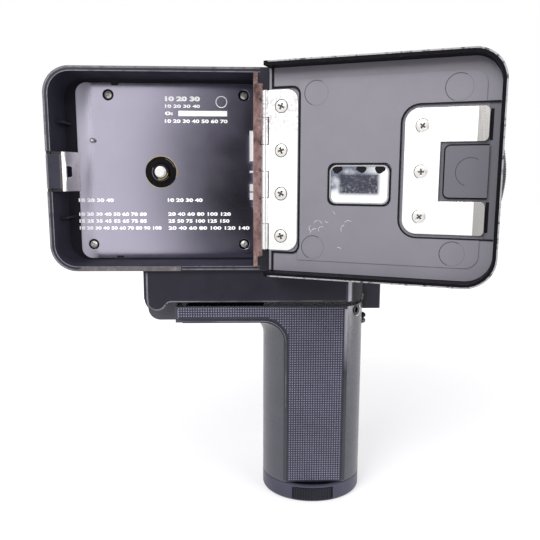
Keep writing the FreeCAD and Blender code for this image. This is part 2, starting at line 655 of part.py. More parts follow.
def corner_edges(shape, axis, spots):
    """Names of the straight edges along an axis that stand at the given spots."""
    keep = [index for index in range(3) if "XYZ"[index] != axis]
    found = []
    for index, edge in enumerate(shape.Edges):
        ends = [vertex.Point for vertex in edge.Vertexes]
        if len(ends) != 2 or edge.Curve.TypeId != "Part::GeomLine":
            continue
        for spot in spots:
            near = all(abs(end[keep[0]] - float(spot[0])) < 0.01
                       and abs(end[keep[1]] - float(spot[1])) < 0.01 for end in ends)
            if near:
                found.append(f"Edge{index + 1}")
    return found


def round_corners(body, axis, radius, *spots):
    """Fillet the edges along an axis that stand at the given spots."""
    doc.recompute()
    base = body.Tip
    names = corner_edges(base.Shape, axis, spots)
    if not names:
        raise RuntimeError(f"no corner to round in {body.Label}")
    feature = body.newObject("PartDesign::Fillet", f"{body.Name}_fillet")
    feature.Base = (base, names)
    bind(feature, "Radius", radius)
    return feature


def turned(label, axis, centre, outline):
    """A turned piece: an outline of (along, radius) points spun round an axis."""
    body = design(label)
    swap = axis != "X"
    points = [(b, a) if swap else (a, b) for a, b in outline]
    sketch = sketch_on(body, "Y" if axis == "Z" else "Z", size(0), [polygon(points)])
    feature = body.newObject("PartDesign::Revolution", f"{body.Name}_turn")
    feature.Profile = sketch
    feature.ReferenceAxis = (sketch, ["V_Axis" if swap else "H_Axis"])
    feature.Angle = 360
    spots = list(centre)
    spots.insert("XYZ".index(axis), 0)
    place(body, *spots)
    return body


def span_of(middle, length):
    """The low and high ends of a length about its middle."""
    return (middle - length / 2, middle + length / 2)


# Body shell: film compartment on the near side, mechanism chamber on the far side
def make_body_shell():
    shell = design("body_shell")
    inner_x = (rear + wall, bulkhead)
    inner_z = (under + wall, top - wall)
    chamber_x = (rear + wall, split - wall)
    pad(shell, "Y", rim, cover_face, rectangle((rear, split), (under, top)))
    pocket(shell, "Y", rim, partition_near, rectangle(inner_x, inner_z))
    pocket(shell, "Y", partition_far, cover_face, rectangle(chamber_x, inner_z))
    round_corners(shell, "Y", body_corner - wall, (rear + wall, under + wall), (rear + wall, top - wall))
    round_corners(shell, "Y", body_corner, (rear, under), (rear, top))
    pocket(shell, "Y", partition_near, partition_far,
           disc(spindle_x, spindle_z, bezel_radius),
           disc(rear + pin_from_rear, under + pin_up, pin_radius + running))
    pocket(shell, "Y", partition_near, partition_far, *floor_screw_outlines(screw_shank))
    gate_y = span_of(axis_y, gate_width)
    gate_z = span_of(axis_z, gate_height)
    pocket(shell, "X", bulkhead, split, rectangle(gate_y, gate_z))
    lay_hole = disc(lay_y, lay_z, lay_radius + running)
    motor_hole = disc(lay_y, motor_height(), motor_shaft + running)
    pocket(shell, "X", split - wall, split, lay_hole, motor_hole)
    pad(shell, "X", rear, rear + body_corner, disc(finder_y, finder_z, cover_face - finder_y))
    finder_hole = disc(finder_y, finder_z, finder_radius)
    pocket(shell, "X", rear, rear + body_corner, finder_hole)
    leaf_z = (under + leaf_low, under + leaf_low + leaf_length)
    leaf_x = span_of(hinge_x, leaf_thickness)
    pocket(shell, "Y", rim, rim + leaf_depth, rectangle(leaf_x, leaf_z))
    catch_z = (under + catch_low - catch_room, under + catch_low + catch_height + catch_room)
    catch_x = (rear, rear + wall)
    pocket(shell, "Y", rim, rim + catch_depth + 2 * free_gap, rectangle(catch_x, catch_z))
    rib_x = (rear + wall, rear + wall + rib_reach)
    for middle in (under + rib_low, under + rib_high):
        pad(shell, "Y", rim + rib_start, partition_near, rectangle(rib_x, span_of(middle, rib_thickness)))
    return shell


def floor_screw_spots():
    """Centres of the four floor screws."""
    low = under + screw_low_z
    high = top - screw_high_drop
    return [(rear + screw_low_x, low), (rear + screw_front_x, low),
            (rear + screw_high_x, high), (rear + screw_front_x, high)]


def floor_screw_outlines(radius):
    """One circle at each floor screw."""
    return [disc(x, z, radius) for x, z in floor_screw_spots()]


def gear_pitch_radius(teeth):
    return gear_module * teeth / 2


def motor_height():
    """Height of the motor's axis, in mesh below the worm shaft's gear."""
    return lay_z - gear_pitch_radius(lay_teeth) - gear_pitch_radius(pinion_teeth)


# Front housing: carries the lens and the gears, with the slope that stops the door
def make_front_housing():
    housing = design("front_housing")
    skin_out = door_skin + liner_thickness
    lean = 180 - door_stop_angle
    reach = skin_out + free_gap + 0.2
    slope = tangent(lean)
    start_x = hinge_x + reach * sine(lean)
    start_y = hinge_y + reach * cosine(lean)
    face = hinge_y - skin_out
    near_start = start_y - (split - start_x) * slope
    bevel_end = start_x + (start_y - face) / slope
    plan = polygon([(split, cover_face), (split, near_start), (bevel_end, face),
                    (front, face), (front, cover_face)])
    pad(housing, "Z", under, top, plan)
    round_corners(housing, "Z", front_corner, (front, face))
    inner_start = near_start - wall * slope + wall / cosine(lean)
    room = polygon([(split + wall, cover_face), (split + wall, inner_start),
                    (bevel_end + wall / 4, face + wall), (front - wall, face + wall),
                    (front - wall, cover_face)])
    pocket(housing, "Z", under + wall, top - wall, room)
    chin_x = (column_front + chin_gap, front)
    chin_y = (rim + chin_near, cover_face - chin_far)
    pad(housing, "Z", under - chin_drop, under + wall, rectangle(chin_x, chin_y))
    round_corners(housing, "Z", edge_round, (chin_x[1], chin_y[0]), (chin_x[1], chin_y[1]))
    rib_x = bearing_rib()
    rib_y = (shutter_y() - 3 * rib_wall, cover_face - 2 * wall)
    rib_z = (under + wall, shutter_z() + 3 * rib_wall)
    pad(housing, "X", rib_x[0], rib_x[1], rectangle(rib_y, rib_z))
    pocket(housing, "X", housing_rear, rib_x[1],
           disc(shutter_y(), shutter_z(), shutter_shaft + running),
           disc(lay_y, motor_height(), motor_shaft + running))
    pocket(housing, "X", housing_rear, housing_inside, disc(lay_y, lay_z, lay_radius + running),
           rectangle(span_of(axis_y, gate_width), span_of(axis_z, gate_width)))
    pocket(housing, "X", front - wall, front, disc(axis_y, axis_z, lens_hole))
    slot_x = span_of(front - rocker_behind, rocker_length + 2 * free_gap)
    slot_y = span_of(rim + rocker_in, rocker_width + 2 * free_gap)
    pocket(housing, "Z", top - wall, top, rectangle(slot_x, slot_y))
    pin_y = span_of(rim + rocker_in, rocker_width + 2 * wall)
    pin_hole = disc(front - rocker_behind, rocker_height(), rocker_pin + running)
    pocket(housing, "Y", pin_y[0], pin_y[1], pin_hole)
    return housing


def bearing_rib():
    """Front to rear span of the rib that carries the front ends of the shafts."""
    start = housing_inside + gear_start + shutter_start + rib_wall
    return start, start + rib_wall


def sine(angle):
    return Size(math.sin(math.radians(float(angle))), f"sin({size(angle).text})")


def cosine(angle):
    return Size(math.cos(math.radians(float(angle))), f"cos({size(angle).text})")


def tangent(angle):
    return Size(math.tan(math.radians(float(angle))), f"tan({size(angle).text})")


def shutter_z():
    """Height of the shutter shaft."""
    return axis_z - shutter_drop


def shutter_y():
    """Sideways place of the shutter shaft, in mesh with the worm shaft's gear."""
    reach = gear_pitch_radius(lay_teeth) + gear_pitch_radius(shutter_teeth)
    rise = shutter_z() - lay_z
    side = math.sqrt(float(reach) ** 2 - float(rise) ** 2)
    text = f"sqrt({reach.text} ^ 2 - {rise.text} ^ 2)"
    return lay_y - Size(side, text)


def rocker_height():
    """Height of the zoom rocker's pivot, inside the thickness of the top wall."""
    return top - wall / 2


# Left cover: closes the mechanism on the far side and carries the dials
def make_left_cover():
    cover = design("left_cover")
    pad(cover, "Y", cover_face, back, rectangle((rear, front), (under, top)))
    round_corners(cover, "Y", body_corner, (rear, under), (rear, top))
    round_corners(cover, "Y", front_corner, (front, under), (front, top))
    dials = [(rear + speed_dial_x, under + dial_up), (rear + exposure_x, under + dial_up)]
    holes = [disc(x, z, dial_shaft + running) for x, z in dials]
    screws = [disc(x, z, screw_shank) for x, z in cover_screw_spots()]
    pocket(cover, "Y", cover_face, back, *holes, *screws)
    return cover


def cover_screw_spots():
    """Centres of the left cover's screws."""
    inset = body_corner
    x_spots = (rear + inset, rear + bulkhead_from_rear, front - inset)
    z_spots = (under + inset / 2, top - inset / 2)
    return [(x, z) for x in x_spots for z in z_spots]


def make_cover_screws():
    screws = []
    for index, (x, z) in enumerate(cover_screw_spots()):
        head = cylinder(f"cover_screw_head_{index}", "Y", (back, back + screw_head_height / 2),
                        (x, z), screw_head)
        shank = cylinder(f"cover_screw_shank_{index}", "Y", (cover_face, back), (x, z), screw_shank)
        screws.append(fuse(f"cover_screw_{index}", head, shank))
    return node(group("cover_screws", *screws), "cover_screws")


# Base rail under the body, with the ears of the grip's pivot at its rear
def make_keel():
    low_high = (keel_low, under)
    column = oval("keel_column", low_high, column_length, column_width)
    flats = box("keel_flats", (-column_front, column_front), (-flat, flat), low_high)
    nose = common("keel_nose", column, flats)
    rail = box("keel_rail", (keel_rear, size(0)), (-flat, flat), (pivot_z, under))
    lower_rail = box("keel_lower_rail", (pivot_x, size(0)), (-flat, flat), (keel_low, pivot_z))
    ears = cylinder("keel_ears", "Y", (-flat, flat), (pivot_x, pivot_z), lobe_radius)
    solid = fuse("keel_solid", nose, rail, lower_rail, ears)
    slot_y = (-flat + ear_thickness, flat - ear_thickness)
    slot_x = (keel_rear - wall, arm_rear + free_gap)
    slot_z = (pivot_z - 2 * lobe_radius, pivot_z + knuckle_body + 4 * free_gap)
    slot = box("keel_slot", slot_x, slot_y, slot_z)
    pin_y = (-flat + pin_cover, flat)
    pin_hole = cylinder("keel_pin_hole", "Y", pin_y, (pivot_x, pivot_z), pivot_pin_radius)
    hollow_x = (arm_rear + free_gap + keel_wall, column_front - hook_back - 2 * keel_wall)
    hollow_y = (-flat + keel_wall, flat - keel_wall)
    hollow = box("keel_hollow", hollow_x, hollow_y, (keel_low + keel_wall, under))
    hook_y = span_of(size(0), hook_width + 2 * free_gap)
    hook_x = (hook_pivot_x() - 2.8 * hook_pin_radius, column_front + wall)
    hook_z = (keel_low, hook_pivot_z() + 2.8 * hook_pin_radius)
    hook_slot = box("keel_hook_slot", hook_x, hook_y, hook_z)
    hook_hole = cylinder("keel_hook_hole", "Y", span_of(size(0), hook_width + 4 * wall),
                         (hook_pivot_x(), hook_pivot_z()), hook_pin_radius + running)
    return node(cut("keel_body", solid, slot, pin_hole, hollow, hook_slot, hook_hole), "keel")


def hook_pivot_x():
    return column_front - hook_back


def hook_pivot_z():
    return under - hook_drop


# Latch hook at the front of the base rail, over the grip's shoulder
def make_latch_hook():
    x = hook_pivot_x()
    z = hook_pivot_z()
    ahead = column_front + free_gap
    tip = z - hook_length
    nose = ahead + hook_lip
    outline = [(x - hook_boss, z - hook_boss), (x - hook_boss, z + hook_boss),
               (x + hook_boss, z + hook_boss), (nose, z - hook_boss), (nose, z - hook_length / 2),
               (ahead + hook_lip / 2, tip), (ahead, tip), (ahead, z - 2 * hook_boss),
               (x + hook_boss, z - hook_boss)]
    hook = design("latch_hook")
    half = hook_width / 2
    pad(hook, "Y", -half, half, polygon(outline))
    stub = half + 1.6 * wall
    pad(hook, "Y", -stub, stub, disc(x, z, hook_pin_radius))
    return hook


# L-shaped grip: arm, column, knuckle and the web between them
def make_grip_shell():
    height = (column_low, arm_top)
    column = common("grip_column",
                    oval("grip_oval", height, column_length, column_width),
                    box("grip_flats", (-column_front, column_front), (-flat, flat), height))
    arm = box("grip_arm", (arm_rear, size(0)), (-flat, flat), (arm_low, arm_top))
    web_x = (-column_front - web_round, size(0))
    web = common("grip_web_piece", web_form("grip_web"),
                 box("grip_web_box", web_x, (-flat, flat), (arm_low - web_round, arm_low)))
    half = flat - ear_thickness - free_gap
    boss = cylinder("grip_knuckle", "Y", (-half, half), (pivot_x, pivot_z), knuckle_body)
    nose_x = (pivot_x - knuckle_body, arm_rear + nose_round)
    nose = box("grip_nose_box", nose_x, (-half, half), (arm_low, pivot_z))
    corner = cut("grip_nose_corner",
                 box("grip_nose_square", (nose_x[0], nose_x[0] + nose_round), (-half, half),
                     (arm_low, arm_low + nose_round)),
                 cylinder("grip_nose_round", "Y", (-half, half),
                          (nose_x[0] + nose_round, arm_low + nose_round), nose_round))
    top_trim = box("grip_nose_trim", (arm_rear, nose_x[1]), (-half, half), (arm_top, pivot_z))
    nose = cut("grip_nose", nose, corner, top_trim)
    solid = fuse("grip_solid", column, arm, web, boss, nose)
    inner = flat - grip_wall
    roof = arm_top - grip_wall
    battery_room = common("grip_room",
                          oval("grip_room_oval", (column_low, roof), column_length - 2 * grip_wall,
                               column_width - 2 * grip_wall),
                          box("grip_room_flats", (-column_front, column_front), (-inner, inner),
                              (column_low, roof)))
    channel = box("grip_channel", (arm_rear + 2 * grip_wall, -column_front), (-inner, inner),
                  (arm_low + grip_wall, arm_top))
    pin_hole = cylinder("grip_pin_hole", "Y", (-flat, flat), (pivot_x, pivot_z),
                        pivot_pin_radius + running)
    tools = [battery_room, channel, pin_hole]
    for side, name in ((-1, "near"), (1, "far")):
        face = (-flat, -flat + panel_recess) if side < 0 else (flat - panel_recess, flat)
        tools.append(panel_prism(f"grip_seat_{name}", face, size(0)))
    for name, drop in (("trigger", trigger_drop), ("run", trigger_drop + trigger_pitch)):
        slot_z = (under - drop - trigger_height - free_gap / 2, under - drop + free_gap / 2)
        slot_y = span_of(size(0), trigger_width + free_gap)
        slot_x = (column_front - trigger_inside - 2 * trigger_travel, column_front + wall)
        tools.append(box(f"grip_{name}_slot", slot_x, slot_y, slot_z))
    tools.append(socket_piece("grip_socket_hole", [(-socket_length, 0), (-socket_length, socket_radius),
                                                   (wall, socket_radius), (wall, 0)]))
    return node(cut("grip_body", solid, *tools), "grip_shell")


WEB_STEPS = 6


def web_form(name):
    """The column's oval, led rearwards in a quarter circle up to the arm's underside."""
    rings = []
    for index in range(WEB_STEPS + 1):
        angle = size(90 * index / WEB_STEPS)
        shift = 1 - cosine(angle)
        rings.append(ellipse(f"{name}_ring_{index}", -web_round * shift,
                             arm_low - web_round + web_round * sine(angle),
                             column_length, column_width + web_spread * shift))
    return loft(name, *rings)


def panel_outline(margin):
    """L-shaped outline of a textured panel, in the plane of the grip's flats."""
    low = column_low + panel_foot - margin
    high = arm_top - panel_margin + margin
    left = arm_rear + panel_margin - margin
    band = high - panel_band - 2 * margin
    return [(left, high), (left, band), (-panel_rear - margin, band), (-panel_rear - margin, low),
            (panel_front + margin, low), (panel_front + margin, high)]


def panel_prism(name, face, margin):
    """A panel-shaped block with its hollow inner corner, for the panels and their seats."""
    shape = panel_outline(margin)
    upright = box(f"{name}_upright", (shape[2][0], shape[4][0]), face, (shape[3][1], shape[5][1]))
    band = box(f"{name}_band", (shape[0][0], shape[2][0]), face, (shape[1][1], shape[0][1]))
    corner_x = shape[2][0] - panel_round
    corner_z = shape[2][1] - panel_round
    block = box(f"{name}_corner", (corner_x, shape[2][0]), face, (corner_z, shape[2][1]))
    bite = cylinder(f"{name}_bite", "Y", face, (corner_x, corner_z), panel_round)
    return fuse(name, upright, band, cut(f"{name}_fillet", block, bite))


def make_grip_panels():
    near = panel_prism("panel_near", (-flat + panel_recess - panel_thickness, -flat + panel_recess), size(0))
    far = panel_prism("panel_far", (flat - panel_recess, flat - panel_recess + panel_thickness), size(0))
    return node(group("panels", near, far), "grip_panels")


# Battery cap: the grip's foot, turned to open, with a serrated thumb tab and the tripod bush
FOOT_STEPS = 4


def foot_form(name):
    """The grip's oval between the standing surface and the cap's top, with a rounded foot."""
    rings = []
    for index in range(FOOT_STEPS + 1):
        angle = size(90 * index / FOOT_STEPS)
        inset = 2 * foot_round * (1 - sine(angle))
        rings.append(ellipse(f"{name}_ring_{index}", size(0), foot_round * (1 - cosine(angle)),
                             column_length - inset, column_width - inset))
    upright = oval(f"{name}_upright", (foot_round, cap_top), column_length, column_width)
    return fuse(name, loft(f"{name}_foot", *rings), upright)


def tab_span(margin):
    """Front to rear span of the thumb tab, grown by a margin at each end."""
    return span_of(-tab_behind, tab_length + 2 * margin)


def make_battery_cap():
    block = foot_form("cap_block")
    room = oval("cap_room", (2 * cap_wall, cap_top), column_length - 2 * cap_wall,
                column_width - 2 * cap_wall)
    boss = cylinder("cap_boss", "Z", (cap_wall, tripod_depth + free_gap), (0, 0), tripod_outer + cap_wall)
    bush_hole = cylinder("cap_bush_hole", "Z", (0, tripod_depth), (0, 0), tripod_outer)
    tab_y = (-column_width / 2 - wall, -column_width / 2 + tab_depth)
    tab_z = (tab_low, tab_low + tab_height + tab_gap / 2)
    tab_hole = box("cap_tab_hole", tab_span(tab_gap), tab_y, tab_z)
    shell = cut("cap_shell", block, room)
    return node(cut("cap_body", fuse("cap_joined", shell, boss), bush_hole, tab_hole), "battery_cap")


def make_thumb_tab():
    """Serrated thumb tab: a plate that follows the cap's front, with upright teeth."""
    half = column_width / 2
    tab_y = (-half - wall, -half + tab_depth)
    tall = (tab_low, tab_low + tab_height)
    plate = common("tab_plate", foot_form("tab_form"), box("tab_box", tab_span(0), tab_y, tall))
    grooves = []
    count = round(float(tab_teeth))
    for index in range(count):
        x = tab_length * ((index + 0.5) / count - 0.5) - tab_behind
        bow = half * (1 - (float(x) / float(column_front)) ** 2) ** 0.5
        grooves.append(cylinder(f"tab_groove_{index}", "Z", tall, (x, -bow), tab_groove))
    return node(cut("tab_teeth", plate, *grooves), "cap_thumb_tab")


def make_tripod_bush():
    ring = [(0, tripod_radius), (tripod_depth, tripod_radius), (tripod_depth, tripod_outer),
            (0, tripod_outer)]
    return turned("tripod_bush", "Z", (0, 0), ring)


def make_battery_cells():
    parts = []
    low = cap_top - cap_wall
    for index, (a, b) in enumerate(((-1, -1), (-1, 1), (1, -1), (1, 1))):
        centre = (a * cell_pitch / 2, b * cell_pitch / 2)
        barrel = cylinder(f"cell_barrel_{index}", "Z", (low + cell_nub, low + cell_nub + cell_length),
                          centre, cell_radius)
        nub_low = low + cell_nub + cell_length
        nub = cylinder(f"cell_nub_{index}", "Z", (nub_low, nub_low + cell_nub), centre, cell_radius / 3)
        parts.append(fuse(f"cell_{index}", barrel, nub))
    return node(group("cells", *parts), "battery_cells")


def make_contact_plate():
    """Contact carrier above the battery cells."""
    low = cap_top - cap_wall + 2 * cell_nub + cell_length
    inner = flat - grip_wall
    plate = common("contact_plate_body",
                   oval("contact_oval", (low, low + contact_thickness), column_length - 2 * grip_wall,
                        column_width - 2 * grip_wall),
                   box("contact_flats", (-column_front, column_front), (-inner, inner),
                       (low, low + contact_thickness)))
    return node(plate, "contact_plate")


def make_pivot_pin():
    low = -flat + pin_cover
    bar = [(low, 0), (low, pivot_pin_radius), (flat, pivot_pin_radius), (flat, 0)]
    return turned("pivot_pin", "Y", (pivot_x, pivot_z), bar)


def make_buttons():
    """Trigger on top and the run button under it, both sliding into the column's front."""
    for label, drop in (("trigger_button", trigger_drop), ("run_button", trigger_drop + trigger_pitch)):
        button = design(label)
        high = under - drop
        low = high - trigger_height
        x = (column_front - trigger_inside, column_front + trigger_travel + trigger_proud)
        half = trigger_width / 2
        pad(button, "Y", -half, half, rectangle(x, (low, high)))
        outer_edge = (x[1], high if label == "trigger_button" else low)
        round_corners(button, "Y", trigger_round, outer_edge)


def socket_piece(label, outline):
    """A turned piece whose axis stands square to the column's front shoulder, mouth at its origin."""
    rise = socket_aside / (column_width / 2)
    front_there = column_front * Size(math.sqrt(1 - float(rise) ** 2), f"sqrt(1 - {rise.text} ^ 2)")
    body = turned(label, "X", (0, 0), outline)
    nodes.remove(body)
    body.Placement = FreeCAD.Placement(Vector(), Rotation(Vector(0, 0, -1), float(socket_turn)))
    bind(body, "Placement.Rotation.Angle", socket_turn)
    place(body, front_there + socket_reach * cosine(socket_turn),
          -socket_aside - socket_reach * sine(socket_turn), under - socket_drop)
    return body


def make_release_socket():
    """Collar with the bore for a remote release."""
    low = -socket_length
    ring = [(low, 0), (low, socket_radius), (0, socket_radius), (0, socket_bore),
            (low + wall, socket_bore), (low + wall, 0)]
    return node(socket_piece("release_socket", ring), "release_socket")


# Floor plate of the film compartment, its screws, the spindle and the sensing pin
def make_floor_plate():
    plate = design("floor_plate")
    x = (rear + plate_left, bulkhead)
    z = (under + plate_low, top - plate_high)
    pad(plate, "Y", floor, partition_near, rectangle(x, z))
    round_corners(plate, "Y", plate_corner, (x[0], z[0]), (x[0], z[1]))
    notch_x = (rear + plate_notch_x, rear + plate_notch_x + plate_notch_length)
    pocket(plate, "Y", floor, partition_near,
           disc(spindle_x, spindle_z, bezel_radius),
           disc(rear + pin_from_rear, under + pin_up, pin_radius + running),
           rectangle(notch_x, (z[0] - wall, z[0] + plate_notch_depth)),
           rectangle(notch_x, (z[1] - plate_notch_depth, z[1] + wall)),
           *floor_screw_outlines(screw_seat))
    return plate


def make_floor_screws():
    screws = []
    for index, (x, z) in enumerate(floor_screw_spots()):
        head_y = (partition_near - screw_head_height, partition_near)
        head = cylinder(f"floor_screw_head_{index}", "Y", head_y, (x, z), screw_head)
        shank = cylinder(f"floor_screw_shank_{index}", "Y", (partition_near, partition_far), (x, z),
                         screw_shank)
        screws.append(fuse(f"floor_screw_{index}", head, shank))
    return node(group("screws_of_floor", *screws), "floor_screws")


def make_spindle():
    low = floor - bezel_rise
    ring = [(low, bezel_radius - bezel_lip), (low, bezel_radius), (partition_far, bezel_radius),
            (partition_far, spindle_shaft + running), (partition_near, spindle_shaft + running),
            (partition_near, bezel_bore), (floor, bezel_bore), (floor, bezel_radius - bezel_lip)]
    turned("spindle_bezel", "Y", (spindle_x, spindle_z), ring)
    tip = floor - spindle_reach
    shaft_end = rim + chassis_in + chassis_thickness
    hub = [(tip, 0), (tip, spindle_stub), (floor - spindle_reach / 2, spindle_stub),
           (floor - spindle_step, spindle_radius), (partition_near - free_gap, spindle_radius),
           (partition_near - free_gap, spindle_shaft), (shaft_end, spindle_shaft), (shaft_end, 0)]
    turned("drive_spindle", "Y", (spindle_x, spindle_z), hub)
    wheel_y = span_of(lay_y, takeup_width)
    wheel = toothed_wheel("takeup_gear", takeup_teeth, takeup_radius, takeup_radius - takeup_depth,
                          spindle_shaft, wheel_y, "Y", (spindle_x, spindle_z), 0)
    node(wheel, "takeup_gear")


def make_sensing_pin():
    tip = floor - pin_reach
    head = partition_far + pin_travel
    rod = [(tip, 0), (tip, pin_radius - pin_tip), (tip + pin_tip, pin_radius), (head, pin_radius),
           (head, 2 * pin_radius), (head + pin_head, 2 * pin_radius), (head + pin_head, 0)]
    return turned("cartridge_pin", "Y", (rear + pin_from_rear, under + pin_up), rod)


# Film gate, feelers and claw at the front of the compartment
def make_film_gate():
    gate = design("film_gate")
    plate_x = (bulkhead, bulkhead + gate_plate)
    y = span_of(axis_y, gate_width)
    z = span_of(axis_z, gate_height)
    pad(gate, "X", plate_x[0], plate_x[1], rectangle(y, z))
    pad_z = (axis_z + gate_pad_low, axis_z + gate_pad_low + gate_pad_length)
    pad_y = span_of(axis_y, gate_width - 2 * gate_margin)
    pad(gate, "X", bulkhead - gate_rise, bulkhead, rectangle(pad_y, pad_z))
    openings = [rectangle(span_of(axis_y, frame_width), span_of(axis_z, frame_height)),
                rectangle(*claw_slot())]
    for _, span_y, span_z in feeler_spots():
        grown_y = (span_y[0] - free_gap, span_y[1] + free_gap)
        grown_z = (span_z[0] - free_gap / 2, span_z[1] + free_gap / 2)
        openings.append(rectangle(grown_y, grown_z))
    pocket(gate, "X", plate_x[0], plate_x[1], *openings)
    return gate


def feeler_spots():
    """Name and spans of the two feelers."""
    spans = []
    for index, label in enumerate(("speed_feeler", "filter_feeler")):
        high = axis_z - feeler_drop - index * feeler_pitch
        spans.append((label, (rim + feeler_in, rim + feeler_in + feeler_width), (high - feeler_height, high)))
    return spans


def make_feelers():
    for label, y, z in feeler_spots():
        feeler = design(label)
        stop = bulkhead + gate_plate + feeler_travel
        pad(feeler, "X", bulkhead - gate_rise, stop + feeler_ear, rectangle(y, z))
        ears = (y[0] - feeler_lug, y[1] + feeler_lug)
        pad(feeler, "X", stop, stop + feeler_ear, rectangle(ears, z))


def claw_slot():
    """Slot that the claw travels in, below its rest place."""
    y = (rim + claw_in - free_gap, rim + claw_in + claw_tip + free_gap)
    z = (axis_z - frame_height - claw_tip / 2 - free_gap, axis_z + claw_tip / 2 + free_gap)
    return y, z


def make_film_claw():
    claw = design("film_claw")
    tip_y = (rim + claw_in, rim + claw_in + claw_tip)
    z = span_of(axis_z, claw_tip)
    plate_back = bulkhead + gate_plate + free_gap
    pad(claw, "X", bulkhead - gate_rise, plate_back + claw_tip, rectangle(tip_y, z))
    arm_y = (tip_y[0] - claw_side, tip_y[1] + claw_side)
    pad(claw, "X", plate_back, plate_back + claw_tip, rectangle(arm_y, span_of(axis_z, claw_arm)))


def make_light_seal():
    seal = design("light_seal")
    x = (bulkhead, bulkhead + seal_length)
    z = (under + door_wall + free_gap, top - door_wall - free_gap)
    notch_x = (x[1] - seal_length / 2, x[1] + wall)
    notch_low = (z[0] - wall, under + seal_notch)
    notch_high = (top - seal_notch, z[1] + wall)
    pad(seal, "Y", rim - seal_height, rim, rectangle(x, z))
    pocket(seal, "Y", rim - seal_height, rim, rectangle(notch_x, notch_low), rectangle(notch_x, notch_high))
    return seal


# Sprung clip at the rear wall that pushes the cartridge forward, and the door catch behind it
def make_rear_clip():
    clip = design("cartridge_spring")
    thin = spring_thickness
    x = rear + wall
    root = rim + spring_in
    bend_x = x + spring_bend
    bend_y = rim + spring_turn
    end_x = x + spring_reach
    end_y = rim + spring_end
    outline = [(x, root), (x, root + 2 * thin), (bend_x - thin, bend_y), (bend_x, bend_y + thin),
               (end_x, end_y), (end_x + thin, end_y - thin / 2), (bend_x + thin, bend_y),
               (bend_x - thin, bend_y - 1.5 * thin)]
    middle = under + catch_low + catch_height / 2
    pad(clip, "Z", middle - spring_height / 2, middle + spring_height / 2, polygon(outline))
    slot_x = span_of(bend_x + spring_slot_in, spring_slot_width)
    slot_z = span_of(middle, spring_slot)
    pocket(clip, "Y", bend_y - thin, end_y + thin, rectangle(slot_x, slot_z))
    round_corners(clip, "Y", spring_slot_round, (slot_x[1], slot_z[0]), (slot_x[1], slot_z[1]))
    return clip


def make_door_catch():
    catch = design("door_catch")
    x = (rear - free_gap, rear - free_gap + catch_thickness)
    z = (under + catch_low, under + catch_low + catch_height)
    near = rim + free_gap
    pad(catch, "Y", near, near + catch_depth, rectangle(x, z))
    pad(catch, "Y", near, near + catch_sheet, rectangle((x[1], rear + catch_length), z))
    round_corners(catch, "Z", edge_round, (x[0], near))
    return catch


# Hinge: leaf in the bulkhead, leaf on the door, and their pin
KNUCKLES = 6


def knuckle_spans(first):
    """Every second knuckle of the hinge, counted from the bottom."""
    pitch = leaf_length / KNUCKLES
    low = under + leaf_low
    gap = free_gap / 2
    return [(low + index * pitch + gap, low + (index + 1) * pitch - gap)
            for index in range(first, KNUCKLES, 2)]


def make_body_leaf():
    x = span_of(hinge_x, leaf_thickness)
    z = (under + leaf_low, under + leaf_low + leaf_length)
    clear = knuckle_radius + free_gap
    parts = [box("body_leaf_plate", x, (hinge_y + clear, rim + leaf_depth), z)]
    for index, span in enumerate(knuckle_spans(0)):
        parts.append(cylinder(f"body_knuckle_{index}", "Z", span, (hinge_x, hinge_y), knuckle_radius))
        parts.append(box(f"body_knuckle_web_{index}", x, (hinge_y, hinge_y + clear), span))
    bore = cylinder("body_leaf_bore", "Z", z, (hinge_x, hinge_y), hinge_pin_radius)
    return node(cut("body_leaf_cut", fuse("body_leaf_joined", *parts), bore), "body_hinge_leaf")


def make_hinge_pin():
    low = under + leaf_low
    high = low + leaf_length
    bar = [(low, 0), (low, hinge_pin_radius), (high, hinge_pin_radius), (high, 0)]
    return turned("hinge_pin", "Z", (hinge_x, hinge_y), bar)


# Door pieces are drawn shut, with the hinge axis as their origin, and then swung open
def door_node(item, label=None):
    """Swing a door piece about the hinge axis to the photographed opening."""
    item.Placement = FreeCAD.Placement(Vector(), Rotation(Vector(0, 0, 1), float(door_open_angle)))
    bind(item, "Placement.Rotation.Angle", door_open_angle)
    place(item, hinge_x, hinge_y, 0)
    if label:
        node(item, label)
    return item


door_free = -hinge_from_rear
door_near_edge = -door_edge
door_rim = hinge_offset - free_gap
liner_back = -liner_thickness
door_face = liner_back - door_skin
door_low = under
door_high = top


def make_door_shell():
    shell = design("door_shell")
    pad(shell, "Y", door_face, door_rim, rectangle((door_free, door_near_edge), (door_low, door_high)))
    inner_x = (door_free + door_wall, door_near_edge + wall)
    inner_z = (door_low + door_wall, door_high - door_wall)
    pocket(shell, "Y", liner_back, door_rim, rectangle(inner_x, inner_z))
    round_corners(shell, "Y", door_corner - door_wall, (inner_x[0], inner_z[0]), (inner_x[0], inner_z[1]))
    round_corners(shell, "Y", door_corner, (door_free, door_low), (door_free, door_high))
    pocket(shell, "Y", door_face, liner_back, window_outline(size(0)))
    round_corners(shell, "Y", window_corner, *window_corners(size(0)))
    pocket(shell, "Y", door_face + screw_skin, liner_back, *door_screw_outlines(door_screw_shank))
    door_node(shell)
    return shell


def window_outline(margin):
    x = (-(window_near + window_length) - margin, -window_near + margin)
    z = (under + window_low - margin, under + window_low + window_height + margin)
    return rectangle(x, z)


def window_corners(margin):
    x = (-(window_near + window_length) - margin, -window_near + margin)
    z = (under + window_low - margin, under + window_low + window_height + margin)
    return [(a, b) for a in x for b in z]


def leaf_screw_spots():
    return [(-leaf_screw_in, under + leaf_screw_low + index * leaf_screw_pitch) for index in range(4)]


def plate_screw_spots():
    middle = under + pressure_low + pressure_height / 2
    return [(-pressure_screw_in, middle + (index - 1) * pressure_screw_pitch) for index in range(3)]


def door_screw_outlines(radius):
    return [disc(x, z, radius) for x, z in leaf_screw_spots() + plate_screw_spots()]


